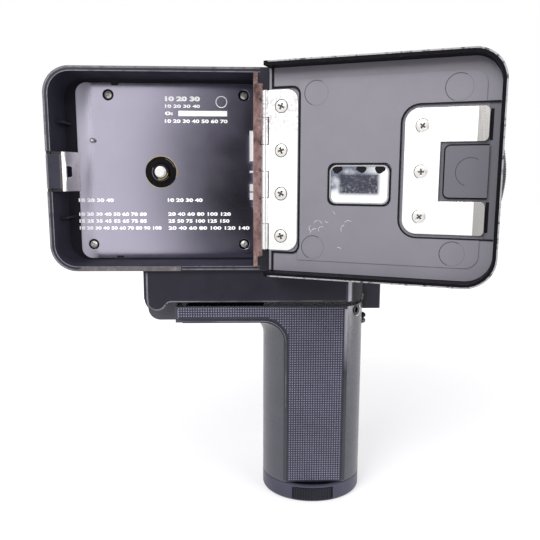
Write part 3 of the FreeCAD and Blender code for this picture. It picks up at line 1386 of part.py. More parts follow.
def make_door_panel():
    panel = design("door_panel")
    gap = free_gap / 3
    x = (door_free + door_wall + gap, door_near_edge)
    z = (door_low + door_wall + gap, door_high - door_wall - gap)
    pad(panel, "Y", liner_back, size(0), rectangle(x, z))
    inside_corner = door_corner - door_wall - gap
    round_corners(panel, "Y", inside_corner, (x[0], z[0]), (x[0], z[1]))
    raised_x = (x[0] + liner_margin, -leaf_width - liner_step)
    raised_z = (z[0] + liner_margin, z[1] - liner_margin)
    pad(panel, "Y", size(0), liner_step, rectangle(raised_x, raised_z))
    round_corners(panel, "Y", inside_corner / 2, (raised_x[0], raised_z[0]), (raised_x[0], raised_z[1]))
    recess_x = (x[0] - wall, -pressure_near + recess_margin)
    recess_z = (under + pressure_low - recess_margin, under + pressure_low + pressure_height + recess_margin)
    pocket(panel, "Y", -recess_depth, liner_step, rectangle(recess_x, recess_z))
    round_corners(panel, "Y", pressure_corner + recess_margin, (recess_x[1], recess_z[0]),
                  (recess_x[1], recess_z[1]))
    block_x = (-block_near - block_length, -block_near)
    block_z = (under + pressure_low + pressure_arm + block_gap,
               under + pressure_low + pressure_height - pressure_arm - block_gap)
    pad(panel, "Y", -recess_depth, block_rise, rectangle(block_x, block_z))
    round_corners(panel, "Y", block_corner, (block_x[1], block_z[0]), (block_x[1], block_z[1]))
    pad(panel, "Y", -recess_depth, size(0), *[disc(x, y, door_screw_head) for x, y in plate_screw_spots()])
    leaf_z = (under + leaf_low, under + leaf_low + leaf_length)
    pocket(panel, "Y", -leaf_thickness / 2, size(0), rectangle((-leaf_width, door_near_edge), leaf_z))
    pocket(panel, "Y", liner_back, liner_step, window_outline(size(0)))
    round_corners(panel, "Y", window_corner, *window_corners(size(0)))
    pocket(panel, "Y", liner_back, liner_step, *door_screw_outlines(door_screw_shank))
    door_node(panel)
    return panel


def make_door_leaf():
    half = leaf_thickness / 2
    z = (under + leaf_low, under + leaf_low + leaf_length)
    clear = knuckle_radius + free_gap
    plate = design("door_leaf_plate")
    nodes.remove(plate)
    pad(plate, "Y", -half, half, rectangle((-leaf_width, -clear), z))
    round_corners(plate, "Y", leaf_corner, (-leaf_width, z[0]), (-leaf_width, z[1]))
    pocket(plate, "Y", -half, half, *[disc(x, y, door_screw_shank) for x, y in leaf_screw_spots()])
    parts = [plate]
    for index, span in enumerate(knuckle_spans(1)):
        parts.append(cylinder(f"door_knuckle_{index}", "Z", span, (0, 0), knuckle_radius))
        parts.append(box(f"door_knuckle_web_{index}", (-clear, size(0)), (-half, half), span))
    bore = cylinder("door_leaf_bore", "Z", z, (0, 0), hinge_pin_radius + running)
    leaf = cut("door_leaf_cut", fuse("door_leaf_joined", *parts), bore)
    return door_node(leaf, "door_hinge_leaf")


def make_pressure_plate():
    """Sprung U-shaped plate that holds the cartridge against the floor."""
    plate = design("pressure_plate")
    low = under + pressure_low
    high = low + pressure_height
    thick = (size(0), pressure_thickness)
    flat_end = -pressure_far + pressure_bend
    outline = [(-pressure_near, low), (-pressure_near, high), (flat_end, high),
               (flat_end, high - pressure_arm), (-pressure_notch, high - pressure_arm),
               (-pressure_notch, low + pressure_arm), (flat_end, low + pressure_arm), (flat_end, low)]
    pad(plate, "Y", thick[0], thick[1], polygon(outline))
    round_corners(plate, "Y", pressure_corner, (-pressure_near, low), (-pressure_near, high))
    bend = [(flat_end, size(0)), (-pressure_far, pressure_thickness), (-pressure_far, 2 * pressure_thickness),
            (flat_end, pressure_thickness)]
    arms = ((low, low + pressure_arm), (high - pressure_arm, high))
    for z in arms:
        pad(plate, "Z", z[0], z[1], polygon(bend))
    round_corners(plate, "Y", pressure_tip, *[(-pressure_far, z) for arm in arms for z in arm])
    pocket(plate, "Y", size(0), pressure_thickness,
           *[disc(x, z, door_screw_shank) for x, z in plate_screw_spots()])
    door_node(plate)
    return plate


def make_door_screws():
    """Countersunk screws of the hinge leaf and of the pressure plate."""
    screws = []
    heads = [(x, z, leaf_thickness / 2) for x, z in leaf_screw_spots()]
    heads += [(x, z, pressure_thickness) for x, z in plate_screw_spots()]
    for index, (x, z, seat) in enumerate(heads):
        head = cylinder(f"door_screw_head_{index}", "Y", (seat, seat + door_screw_rise), (x, z),
                        door_screw_head)
        shank = cylinder(f"door_screw_shank_{index}", "Y", (door_face + screw_skin, seat), (x, z),
                         door_screw_shank)
        screws.append(fuse(f"door_screw_{index}", head, shank))
    return door_node(group("screws_of_door", *screws), "door_screws")


def make_door_window():
    pane = design("door_window")
    play = -free_gap / 6
    pad(pane, "Y", door_face, liner_step / 2, window_outline(play))
    round_corners(pane, "Y", window_corner + play, *window_corners(play))
    return door_node(pane)


def make_finger_pull():
    """Knurled bow on the door's free edge."""
    pull = design("finger_pull")
    low = under + pull_low
    high = low + pull_height
    edge = door_free
    y = (door_face + pull_in, door_face + pull_in + pull_depth)
    teeth = round(float(pull_teeth))
    outline = [(edge, low)]
    for index in range(teeth):
        start = index / teeth
        for share, dip in ((start + 0.25 / teeth, size(0)), (start + 0.75 / teeth, pull_groove)):
            bow = 1 - (2 * share - 1) ** 2
            outline.append((edge - pull_base - (pull_rise - dip) * bow, low + pull_height * share))
    outline.append((edge, high))
    pad(pull, "Y", y[0], y[1], polygon(outline))
    return door_node(pull)


# Lens on the front housing
def make_lens():
    centre = (axis_y, axis_z)
    start = bearing_rib()[1] + barrel_gap
    end = front + barrel_reach
    bore = barrel_radius - barrel_wall
    step = front + flange_thickness
    barrel = [(start, rear_glass), (start, barrel_radius - free_gap), (front, barrel_radius - free_gap),
              (front, flange_radius), (step, flange_radius), (step, barrel_radius), (end, barrel_radius),
              (end, bore), (start + wall, bore), (start + wall, rear_glass)]
    turned("lens_barrel", "X", centre, barrel)
    inner = barrel_radius + running
    zoom = (front + zoom_start, front + zoom_start + zoom_length)
    focus = (front + focus_start, front + focus_start + focus_length)
    ring = ribbed_ring("zoom_ring", centre, zoom, inner, zoom_radius)
    stub_high = zoom_radius + wall
    pocket(ring, "Z", zoom_radius - lever_stub_depth, stub_high, disc(lever_x(), size(0), lever_stub))
    ribbed_ring("focus_ring", centre, focus, inner, focus_radius)
    tip = end + filter_reach
    seat = tip - filter_depth
    mouth = bore - glass_step
    ring = [(focus[1] + free_gap, barrel_radius), (focus[1] + free_gap, filter_outer), (tip, filter_outer),
            (tip, filter_radius), (seat, filter_radius), (seat, mouth), (end, mouth), (end, barrel_radius)]
    turned("filter_ring", "X", centre, ring)
    glass_mid = end - front_glass_edge - front_glass_bulge
    cell_ring = bore
    glass = [(glass_mid - front_glass_bulge / 2, 0)]
    glass += crown(glass_mid, front_glass_bulge, cell_ring, -1)
    glass += crown(glass_mid + front_glass_edge, front_glass_bulge, cell_ring, 1)
    glass.append((glass_mid + front_glass_edge + front_glass_bulge, 0))
    turned("front_lens", "X", centre, glass)
    rear_lens = [(start, 0), (start, rear_glass), (start + wall, rear_glass),
                 (start + wall * 1.6, rear_glass / 2), (start + wall * 1.8, 0)]
    turned("rear_lens", "X", centre, rear_lens)
    elements = []
    for index in range(3):
        low = front - group_start + index * group_pitch
        elements.append(cylinder(f"inner_element_{index}", "X", (low, low + group_edge), centre, bore))
    node(group("inner_elements", *elements), "lens_group")


def crown(edge, bulge, radius, way):
    """Points of a lens face from its edge to its middle, or back when it faces rearwards."""
    points = []
    for share in (1, 0.8, 0.55, 0.3):
        depth = bulge * (1 - share ** 2) * (1 if way > 0 else -0.5)
        points.append((edge + depth, radius * share))
    return points if way > 0 else points[::-1]


def ribbed_ring(label, centre, span, inner, outer):
    """A lens ring with straight grooves all round its grip."""
    ring = [(span[0], inner), (span[0], outer), (span[1], outer), (span[1], inner)]
    body = turned(label, "X", centre, ring)
    edge = wall
    groove = pocket_groove(body, (span[0] + edge, span[1] - edge), outer)
    pattern = body.newObject("PartDesign::PolarPattern", f"{label}_pattern")
    pattern.Originals = [groove]
    pattern.Axis = ([item for item in body.Origin.OriginFeatures if item.Role == "X_Axis"][0], [""])
    pattern.Angle = 360
    bind(pattern, "Occurrences", rib_count)
    body.Tip = pattern
    return body


def pocket_groove(body, span, outer):
    """One straight groove on top of a ring, cut down from outside it."""
    half = rib_depth
    low = outer - rib_depth
    return pocket(body, "Z", low, outer + wall, rectangle(span, (-half, half)))


def make_zoom_lever():
    """Lever on the zoom ring, held by a stub in the ring."""
    high = zoom_radius + lever_length
    stem = [(zoom_radius - lever_stub_depth, 0), (zoom_radius - lever_stub_depth, lever_stub),
            (zoom_radius, lever_stub), (zoom_radius, lever_radius), (high - edge_round, lever_radius * 0.8),
            (high, lever_radius * 0.5), (high, 0)]
    lever = turned("zoom_lever", "Z", (lever_x(), 0), stem)
    place(lever, lever_x(), axis_y, axis_z)
    return lever


def lever_x():
    return front + zoom_start + zoom_length / 2


# Finder, eyepiece and eyecup at the rear
def make_finder():
    centre = (finder_y, finder_z)
    inner = finder_radius - finder_wall
    flange_end = rear - eye_flange
    ring_end = flange_end - free_gap - dioptre_length
    cup_start = ring_end - free_gap
    cup_end = cup_start - eyecup_length
    plug = cup_start - eyecup_plug
    tube = [(plug, inner), (plug, finder_radius), (flange_end, finder_radius),
            (flange_end, eye_radius), (rear, eye_radius), (rear, finder_radius),
            (rear + finder_length, finder_radius), (rear + finder_length, inner)]
    turned("finder_tube", "X", centre, tube)
    ring = [(ring_end, finder_radius + running), (ring_end, eye_radius), (flange_end - free_gap, eye_radius),
            (flange_end - free_gap, finder_radius + running)]
    turned("dioptre_ring", "X", centre, ring)
    lip = eye_radius - edge_round
    cup = [(cup_start, finder_radius), (cup_start, eye_radius), (cup_end + edge_round, eye_radius),
           (cup_end, lip), (cup_end, lip - eyecup_lip), (plug, inner + finder_wall / 2),
           (plug, finder_radius)]
    turned("eyecup", "X", centre, cup)
    glass = [(ring_end + eye_glass_edge, 0), (ring_end + eye_glass_edge, inner)]
    glass += [(ring_end, inner)]
    for share in (0.8, 0.55, 0.3, 0):
        glass.append((ring_end - eye_glass_bulge * (1 - share ** 2), inner * share))
    turned("eyepiece_lens", "X", centre, glass)


# Dials on the left cover, with their shafts through it
def make_dial(label, x, radius):
    gap = free_gap
    low = back + gap
    high = low + dial_height
    profile = [(cover_face - wall, 0), (cover_face - wall, dial_shaft), (low, dial_shaft), (low, radius),
               (high - edge_round, radius), (high, radius - edge_round), (high, 0)]
    return turned(label, "Y", (x, under + dial_up), profile)


def make_zoom_rocker():
    rocker = design("zoom_rocker")
    x = span_of(front - rocker_behind, rocker_length)
    y = span_of(rim + rocker_in, rocker_width)
    crown_z = top + rocker_rise
    middle = front - rocker_behind
    low = top - wall - free_gap
    dish = crown_z - rocker_dish
    outline = [(x[0], low), (x[1], low), (x[1], crown_z), (middle + rocker_length / 6, dish),
               (middle - rocker_length / 6, dish), (x[0], crown_z)]
    pad(rocker, "Y", y[0], y[1], polygon(outline))
    pin_y = span_of(rim + rocker_in, rocker_width + 2 * rocker_stub)
    pad(rocker, "Y", pin_y[0], pin_y[1], disc(middle, rocker_height(), rocker_pin))
    return rocker


def make_accessory_shoe():
    shoe = design("accessory_shoe")
    x = (split, split + shoe_length)
    middle = rim + rocker_in
    outer = span_of(middle, shoe_width)
    slot = span_of(middle, shoe_slot)
    throat = span_of(middle, shoe_slot - 2 * shoe_lip)
    pad(shoe, "X", x[0], x[1], rectangle(outer, (top, top + shoe_height)))
    inner_z = (top + shoe_sheet, top + shoe_height - shoe_sheet)
    pocket(shoe, "X", x[0], x[1], rectangle(slot, inner_z))
    pocket(shoe, "X", x[0], x[1], rectangle(throat, (top + shoe_sheet, top + shoe_height)))
    return shoe


# Drive train
def toothed_wheel(name, teeth, outer, root, bore, span, axis, centre, phase):
    """A straight-toothed wheel with slim flanks; phase turns it, in parts of one tooth."""
    count = round(float(teeth))
    pitch = 2 * math.pi / count
    corners = []
    tooth = ((-tooth_root, root), (-tooth_tip, outer), (tooth_tip, outer), (tooth_root, root))
    for index in range(count):
        middle = (index + phase) * pitch
        for share, radius in tooth:
            angle = middle + float(share) * pitch
            corners.append(Vector(float(radius) * math.cos(angle), float(radius) * math.sin(angle), 0))
    face = Part.Face(Part.makePolygon(corners + corners[:1]))
    wheel = face.extrude(Vector(0, 0, float(span[1]) - float(span[0])))
    if float(bore) > 0:
        wheel = wheel.cut(Part.makeCylinder(float(bore), float(span[1]) - float(span[0])))
    item = doc.addObject("Part::Feature", f"{name}_wheel")
    item.Shape = wheel
    item.Placement = FreeCAD.Placement(Vector(), WHEEL_TURNS[axis])
    spots = list(centre)
    spots.insert("XYZ".index(axis), span[0])
    place(item, *spots)
    return item


# Wheels are drawn flat and stood up so that their own x and y follow the frame's y and z, or x and z
WHEEL_TURNS = {"X": Rotation(Vector(1, 1, 1), 120), "Y": Rotation(Vector(1, 0, 0), -90)}


def gear_radii(teeth):
    middle = gear_pitch_radius(teeth)
    return middle + 0.8 * gear_module, middle - 1.2 * gear_module


def mesh_phase(teeth, other, direction, other_phase):
    """Turn of a wheel, in parts of a tooth, that puts a gap opposite the other wheel's tooth.

    direction is the angle in degrees from the other wheel's axis to this one's."""
    count = round(float(teeth))
    other_count = round(float(other))
    other_pitch = 360 / other_count
    offset = (direction / other_pitch - other_phase) % 1
    lead = -offset * other_pitch
    facing = direction + 180
    gap_angle = facing - lead * other_count / count
    return (gap_angle / (360 / count) - 0.5) % 1


def make_drive_train():
    gear_x = (housing_inside + gear_start, housing_inside + gear_start + gear_width)
    outer, root = gear_radii(lay_teeth)
    wheel = toothed_wheel("lay", lay_teeth, outer, root, 0, gear_x, "X", (lay_y, lay_z), 0)
    lay_x = (rear + chassis_rear, gear_x[1] + free_gap)
    shaft = cylinder("lay_shaft", "X", lay_x, (lay_y, lay_z), lay_radius)
    worm_x = span_of(spindle_x, worm_length)
    worm = cylinder("lay_worm", "X", worm_x, (lay_y, lay_z), worm_radius)
    ridges = []
    turns = round(float(worm_turns))
    for index in range(turns):
        x = span_of(worm_x[0] + worm_length * (index + 0.5) / turns, worm_groove)
        groove = cut(f"worm_groove_{index}",
                     cylinder(f"worm_groove_out_{index}", "X", x, (lay_y, lay_z), 2 * worm_radius),
                     cylinder(f"worm_groove_in_{index}", "X", x, (lay_y, lay_z), worm_radius - worm_depth))
        ridges.append(groove)
    node(fuse("lay_joined", wheel, shaft, cut("lay_worm_cut", worm, *ridges)), "worm_shaft")

    outer, root = gear_radii(pinion_teeth)
    motor_z = motor_height()
    phase = mesh_phase(pinion_teeth, lay_teeth, -90, 0)
    wheel = toothed_wheel("pinion", pinion_teeth, outer, root, 0, gear_x, "X", (lay_y, motor_z), phase)
    shaft_x = (split - wall + free_gap, gear_x[1] + 2 * free_gap)
    shaft = cylinder("pinion_shaft", "X", shaft_x, (lay_y, motor_z), motor_shaft)
    node(fuse("pinion_joined", wheel, shaft), "motor_pinion")
    motor_x = (split - wall - motor_length, split - wall)
    node(cylinder("motor_can", "X", motor_x, (lay_y, motor_z), motor_radius), "drive_motor")

    outer, root = gear_radii(shutter_teeth)
    centre = (shutter_y(), shutter_z())
    rise = float(shutter_z()) - float(lay_z)
    side = float(shutter_y()) - float(lay_y)
    phase = mesh_phase(shutter_teeth, lay_teeth, math.degrees(math.atan2(rise, side)), 0)
    wheel = toothed_wheel("shutter_gear", shutter_teeth, outer, root, 0, gear_x, "X", centre, phase)
    disc_x = (housing_inside + shutter_start, housing_inside + shutter_start + shutter_thickness)
    plate = cylinder("shutter_plate", "X", disc_x, centre, shutter_radius)
    sector = box("shutter_sector", disc_x, (shutter_y() - shutter_radius, shutter_y()),
                 (shutter_z() + shutter_open, shutter_z() + shutter_radius))
    shaft_x = (housing_rear + free_gap, disc_x[1] + 3 * rib_wall)
    shaft = cylinder("shutter_rod", "X", shaft_x, centre, shutter_shaft)
    hub = cylinder("shutter_hub", "X", (gear_x[1], disc_x[1] + 2 * free_gap), centre, 2 * shutter_shaft)
    node(fuse("shutter_joined", wheel, shaft, hub, cut("shutter_blade", plate, sector)), "shutter")


def make_mechanism_plate():
    y = (rim + chassis_in, rim + chassis_in + chassis_thickness)
    x = (rear + chassis_rear, rear + chassis_rear + chassis_length)
    z = (under + chassis_low, finder_z - finder_radius - chassis_clear)
    parts = [box("chassis_plate", x, y, z)]
    for a, post_x in enumerate((x[0] + post_inset, x[1] - post_inset)):
        for b, post_z in enumerate((z[0] + post_inset, z[1] - post_inset)):
            parts.append(cylinder(f"chassis_post_{a}{b}", "Y", (partition_far, y[0]), (post_x, post_z),
                                  post_radius))
    for index, tab_x in enumerate((x[0], x[1] - chassis_tab)):
        tab_z = (lay_z - 2 * lay_radius, z[0] + chassis_tab)
        tab_y = (lay_y - 2 * lay_radius, y[1])
        parts.append(box(f"chassis_tab_{index}", (tab_x, tab_x + chassis_tab), tab_y, tab_z))
    solid = fuse("chassis_joined", *parts)
    spindle_hole = cylinder("chassis_spindle_hole", "Y", y, (spindle_x, spindle_z), spindle_shaft + running)
    lay_hole = cylinder("chassis_lay_hole", "X", x, (lay_y, lay_z), lay_radius + running)
    return node(cut("chassis_cut", solid, spindle_hole, lay_hole), "mechanism_plate")


def make_all():
    make_body_shell()
    make_front_housing()
    make_left_cover()
    make_cover_screws()
    make_keel()
    make_latch_hook()
    make_grip_shell()
    make_grip_panels()
    make_battery_cap()
    make_thumb_tab()
    make_tripod_bush()
    make_battery_cells()
    make_contact_plate()
    make_pivot_pin()
    make_buttons()
    make_release_socket()
    make_floor_plate()
    make_floor_screws()
    make_spindle()
    make_sensing_pin()
    make_film_gate()
    make_feelers()
    make_film_claw()
    make_light_seal()
    make_rear_clip()
    make_door_catch()
    make_body_leaf()
    make_hinge_pin()
    make_door_shell()
    make_door_panel()
    make_door_leaf()
    make_pressure_plate()
    make_door_screws()
    make_door_window()
    make_finger_pull()
    make_lens()
    make_zoom_lever()
    make_finder()
    make_dial("speed_dial", rear + speed_dial_x, speed_dial_radius)
    make_dial("exposure_dial", rear + exposure_x, exposure_radius)
    make_zoom_rocker()
    make_accessory_shoe()
    make_drive_train()
    make_mechanism_plate()


def write_out():
    """Check every object and every sub-part, then write one file for each sub-part."""
    doc.recompute()
    for item in doc.Objects:
        bad = [word for word in item.State if word in ("Invalid", "Error")]
        if bad:
            raise RuntimeError(f"{item.Label} failed: {bad}")
    for item in nodes:
        if item.Shape.isNull() or not item.Shape.isValid():
            raise RuntimeError(f"{item.Label} has no valid shape")
    os.makedirs("parts", exist_ok=True)
    for item in nodes:
        item.Shape.exportStep(f"parts/{item.Label}.step")
    print(len(nodes), "sub-parts written")


make_all()
write_out()
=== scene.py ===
"""Looks of the movie camera with its film door open. Metres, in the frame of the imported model."""
import json
import math

import bmesh
import bpy
from mathutils import Matrix, Vector, noise


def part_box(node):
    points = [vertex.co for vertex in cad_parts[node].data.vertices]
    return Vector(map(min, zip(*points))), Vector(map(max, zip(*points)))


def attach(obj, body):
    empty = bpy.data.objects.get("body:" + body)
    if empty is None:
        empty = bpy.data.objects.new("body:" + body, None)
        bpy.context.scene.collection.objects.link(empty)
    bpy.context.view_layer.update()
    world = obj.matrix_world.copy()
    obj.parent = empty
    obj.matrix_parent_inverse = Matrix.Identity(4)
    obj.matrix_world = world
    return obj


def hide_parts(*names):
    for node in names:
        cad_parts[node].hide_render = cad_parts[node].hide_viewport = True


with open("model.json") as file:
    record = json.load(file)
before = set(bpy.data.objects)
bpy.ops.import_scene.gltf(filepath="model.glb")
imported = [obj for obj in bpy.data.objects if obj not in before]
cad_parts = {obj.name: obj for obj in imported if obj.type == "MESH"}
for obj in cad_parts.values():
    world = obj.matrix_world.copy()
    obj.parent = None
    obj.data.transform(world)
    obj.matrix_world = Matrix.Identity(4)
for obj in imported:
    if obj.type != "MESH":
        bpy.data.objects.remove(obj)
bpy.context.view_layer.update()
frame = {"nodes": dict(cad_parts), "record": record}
nodes = frame["nodes"]
MM = 0.001
bpy.context.scene.view_settings.view_transform = "Standard"


def settle(item, **values):
    """Give an item its plain values, in the order that they are named."""
    for key, value in values.items():
        setattr(item, key, value)
    return item


def put_in(name, data):
    """Put an object with this data into the scene."""
    item = bpy.data.objects.new(name, data)
    bpy.context.scene.collection.objects.link(item)
    return item


# Camera at the photograph's viewing angle
def add_camera():
    yaw, pitch, roll = (math.radians(angle) for angle in (2.079, 8.877, 0.189))
    flat = math.cos(pitch)
    forward = Vector((math.sin(yaw) * flat, math.cos(yaw) * flat, -math.sin(pitch)))
    right = Vector((math.cos(yaw), -math.sin(yaw), 0))
    up = right.cross(forward)
    level = right * math.cos(roll) + up * math.sin(roll)
    upright = up * math.cos(roll) - right * math.sin(roll)
    data = settle(bpy.data.cameras.new("view"), lens=40, sensor_width=36, clip_start=0.01)
    camera = put_in("view", data)
    turn = Matrix((level, upright, -forward)).transposed()
    camera.matrix_world = Matrix.Translation(Vector((-33.5, -307.19, 165.34)) * MM) @ turn.to_4x4()
    bpy.context.scene.camera = camera


# Node trees of the materials and the world
class Nodes:
    """Short ways to add nodes to a tree."""

    def __init__(self, tree):
        self.tree = tree

    def node(self, kind, inputs=None, **settings):
        """The outputs of a new node, with its settings made and its inputs filled."""
        made = settle(self.tree.nodes.new(kind), **settings)
        for socket, value in (inputs or {}).items():
            self.fill(made.inputs[socket], value)
        return made.outputs

    def fill(self, socket, value):
        """Set a socket to a number, a vector or a colour, or link it to another node."""
        if isinstance(value, bpy.types.NodeSocket):
            self.tree.links.new(value, socket)
        else:
            socket.default_value = (*value, 1) if socket.type == "RGBA" else value

    def times(self, first, second, kind="MULTIPLY"):
        return self.node("ShaderNodeMath", {0: first, 1: second}, operation=kind)[0]

    def spread(self, source, low, high, to_low=0.0, to_high=1.0):
        """Map low..high of a value onto another span, and clamp it."""
        spans = {"Value": source, "From Min": low, "From Max": high, "To Min": to_low, "To Max": to_high}
        return self.node("ShaderNodeMapRange", spans)["Result"]

    def mix(self, kind, mask, before, after):
        inputs = {"Factor": mask, "A": before, "B": after}
        return self.node("ShaderNodeMix", inputs, data_type=kind)["Result"]

    def vector(self, kind, source, other):
        """A vector operation between a link and a constant."""
        return self.node("ShaderNodeVectorMath", {0: source, 1: other}, operation=kind)

    def seen_directly(self, glossy):
        """1 for rays from the lens, through glass and, where asked, off metal."""
        rays = self.node("ShaderNodeLightPath")
        seen = self.times(rays["Is Camera Ray"], rays["Is Transmission Ray"], "MAXIMUM")
        return self.times(seen, rays["Is Glossy Ray"], "MAXIMUM") if glossy else seen


MATERIALS = {}


class Finish(Nodes):
    """A material and its node tree. All lengths are metres, in the object's own coordinates."""

    def __init__(self, name, colour, roughness, metallic=0.0, **sockets):
        self.material = bpy.data.materials.new(name)
        self.material.use_nodes = True
        super().__init__(self.material.node_tree)
        self.shader = self.tree.nodes["Principled BSDF"]
        self.put("Base Color", colour)
        self.put("Roughness", roughness)
        self.put("Metallic", metallic)
        for socket, value in sockets.items():
            self.put(socket.replace("_", " "), value)
        self.colour = colour
        self.roughness = roughness
        self.place = self.node("ShaderNodeTexCoord")["Object"]
        self.height = None
        MATERIALS[name] = self

    def put(self, socket, value):
        self.fill(self.shader.inputs[socket], value)

    def now(self, socket, plain):
        """What feeds a socket of the shader, or its plain value."""
        links = self.shader.inputs[socket].links
        return links[0].from_socket if links else plain

    def noise(self, size, detail=3, rough=0.55, stretch=(1, 1, 1), shift=0.0):
        """Noise whose coarsest lumps are size metres across, longer along a stretched axis."""
        scale = [1 / value for value in stretch]
        moved = {"Vector": self.place, "Location": (shift, shift, shift), "Scale": scale}
        place = self.node("ShaderNodeMapping", moved)["Vector"]
        inputs = {"Vector": place, "Scale": 1 / size, "Detail": detail, "Roughness": rough}
        return self.node("ShaderNodeTexNoise", inputs)["Fac"]

    def along(self, axis):
        """One object coordinate, in metres."""
        return self.node("ShaderNodeSeparateXYZ", {0: self.place})[axis]

    def from_hinge(self):
        """Distance along the open door from its hinge axis, in metres."""
        origin = DOOR @ Vector((0, 0, 0))
        way = (DOOR @ Vector((1, 0, 0)) - origin).normalized()
        reach = self.vector("DOT_PRODUCT", self.place, way)["Value"]
        return self.times(reach, -way.dot(Vector((origin.x, origin.y, 0))), "ADD")

    def from_axis(self, x, z):
        """Distance in metres from a line along Y, which passes x and z in millimetres."""
        flat = self.vector("MULTIPLY", self.place, (1, 0, 1))["Vector"]
        return self.vector("DISTANCE", flat, (x * MM, 0, z * MM))["Value"]

    def within(self, axis, low, high, soft=0.0005):
        """1 where a coordinate lies between two values in millimetres, and 0 outside them."""
        place = self.from_hinge() if axis == "door" else self.along(axis)
        after = self.spread(place, low * MM - soft, low * MM + soft)
        before = self.spread(place, high * MM - soft, high * MM + soft, 1, 0)
        return self.times(after, before)

    def blend(self, mask, colour, over=None):
        """Lay a colour over what is there, where the mask is 1."""
        before = over if over is not None else self.now("Base Color", self.colour)
        self.put("Base Color", self.mix("RGBA", mask, before, colour))

    def clouds(self, colour, size, low, high, share=1.0, **how):
        """Lay a colour over in patches: noise above low, to its full share at high."""
        self.blend(self.spread(self.noise(size, **how), low, high, 0, share), colour)

    def vary(self, amount, size, **how):
        """Lighter and darker clouds: amount is the share that the colour changes by."""
        mask = self.spread(self.noise(size, **how), 0.3, 0.7)
        dark = tuple(value * (1 - amount) for value in self.colour)
        light = tuple(min(1, value * (1 + amount)) for value in self.colour)
        self.blend(mask, light, over=dark)

    def gloss(self, low, high, size, **how):
        """Roughness that wanders between low and high."""
        self.put("Roughness", self.spread(self.noise(size, **how), 0.3, 0.7, low, high))

    def change(self, socket, mask, value):
        """Another value of a plain number where the mask is 1."""
        before = self.now(socket, self.shader.inputs[socket].default_value)
        self.put(socket, self.mix("FLOAT", mask, before, value))

    def grain(self, height, size, **how):
        """Fine relief, height metres high, with lumps size metres across."""
        self.relief(self.noise(size, **how), height)

    def relief(self, source, height):
        inputs = {"Distance": height, "Strength": 1, "Height": source}
        if self.height is not None:
            inputs["Normal"] = self.height
        self.height = self.node("ShaderNodeBump", inputs)["Normal"]
        self.put("Normal", self.height)

    def rubbed(self, size, share, metal, roughness=0.36, **how):
        """Paint rubbed through in patches, with the metal showing."""
        mask = self.spread(self.noise(size, detail=6, rough=0.7, **how), share, share + 0.06)
        self.patch(mask, metal, roughness)

    def patch(self, mask, metal, roughness=0.36):
        self.blend(mask, metal)
        self.change("Roughness", mask, roughness)


def satin(name, colour, roughness, grain=0.00001, level=0.3, **sockets):
    """Painted or moulded black: soft clouds in tone and gloss over a fine grain."""
    made = Finish(name, colour, roughness, Specular_IOR_Level=level, **sockets)
    made.vary(0.15, 0.012, detail=4)
    made.gloss(roughness - 0.04, roughness + 0.06, 0.006, detail=4)
    made.grain(grain, 0.0005, detail=3)
    return made


def steel(name, colour, roughness, brushed=(1, 1, 1), dirt=0.0, relief=0.000003, shade=0.86):
    """Bare metal: brush lines or a fine mottle, and dull spots where dirt is asked for."""
    made = Finish(name, colour, roughness, metallic=1.0)
    lines = made.noise(0.0006, detail=4, stretch=brushed)
    dark = tuple(value * shade for value in colour)
    made.blend(made.spread(lines, 0.25, 0.75), colour, over=dark)
    made.put("Roughness", made.spread(lines, 0.2, 0.8, roughness - 0.05, roughness + 0.07))
    made.relief(lines, relief)
    if dirt:
        spots = made.noise(0.003, detail=8, rough=0.75, shift=0.17)
        spots = made.spread(spots, 0.62 - 0.1 * dirt, 0.7 - 0.1 * dirt, 0, 0.75)
        made.patch(spots, (0.2, 0.18, 0.15), 0.6)
    return made


BLACK = (0.021, 0.02, 0.029)


def body_finishes():
    body = satin("body_black", BLACK, 0.4)
    body.blend(body.spread(body.along("Z"), 0.114, 0.118, 1, 0), (0.036, 0.032, 0.048))
    satin("cover_black", BLACK, 0.42, 0.00002)
    satin("cavity_black", (0.032, 0.0315, 0.046), 0.6, 0.00001, 0.02)
    satin("hook_black", (0.022, 0.022, 0.025), 0.38)
    leather = satin("leather_black", (0.02, 0.019, 0.021), 0.5, 0.00004)
    leather.grain(0.0001, 0.0011, detail=2)
    steel("shoe_steel", (0.7, 0.7, 0.7), 0.28, brushed=(10, 1, 1))


def body_edge_finishes():
    """Rubbed edges of the body, brown along the rear of its underside."""
    edge = satin("body_edge", (0.03, 0.027, 0.03), 0.34, level=0.5)
    edge.rubbed(0.005, 0.56, (0.24, 0.2, 0.18), shift=0.31)
    low = edge.times(edge.within("Z", 112, 123), edge.within("X", -122, -66))
    rust = edge.spread(edge.noise(0.004, detail=6, rough=0.7, shift=0.7), 0.42, 0.5)
    edge.patch(edge.times(low, rust), (0.2, 0.13, 0.085), 0.45)
    # Light rim lines: partly wear, partly painted highlight along the edges.
    rim = satin("rim_lit_and_worn", (0.17, 0.165, 0.19), 0.35, level=0.5)
    rim.clouds((0.07, 0.068, 0.08), 0.004, 0.5, 0.6, 0.8, detail=6, rough=0.7, shift=0.2)
    brown = satin("rim_brown", (0.1, 0.085, 0.09), 0.45, level=0.5)
    brown.clouds((0.2, 0.175, 0.18), 0.002, 0.5, 0.62, detail=6, rough=0.75, shift=0.7)


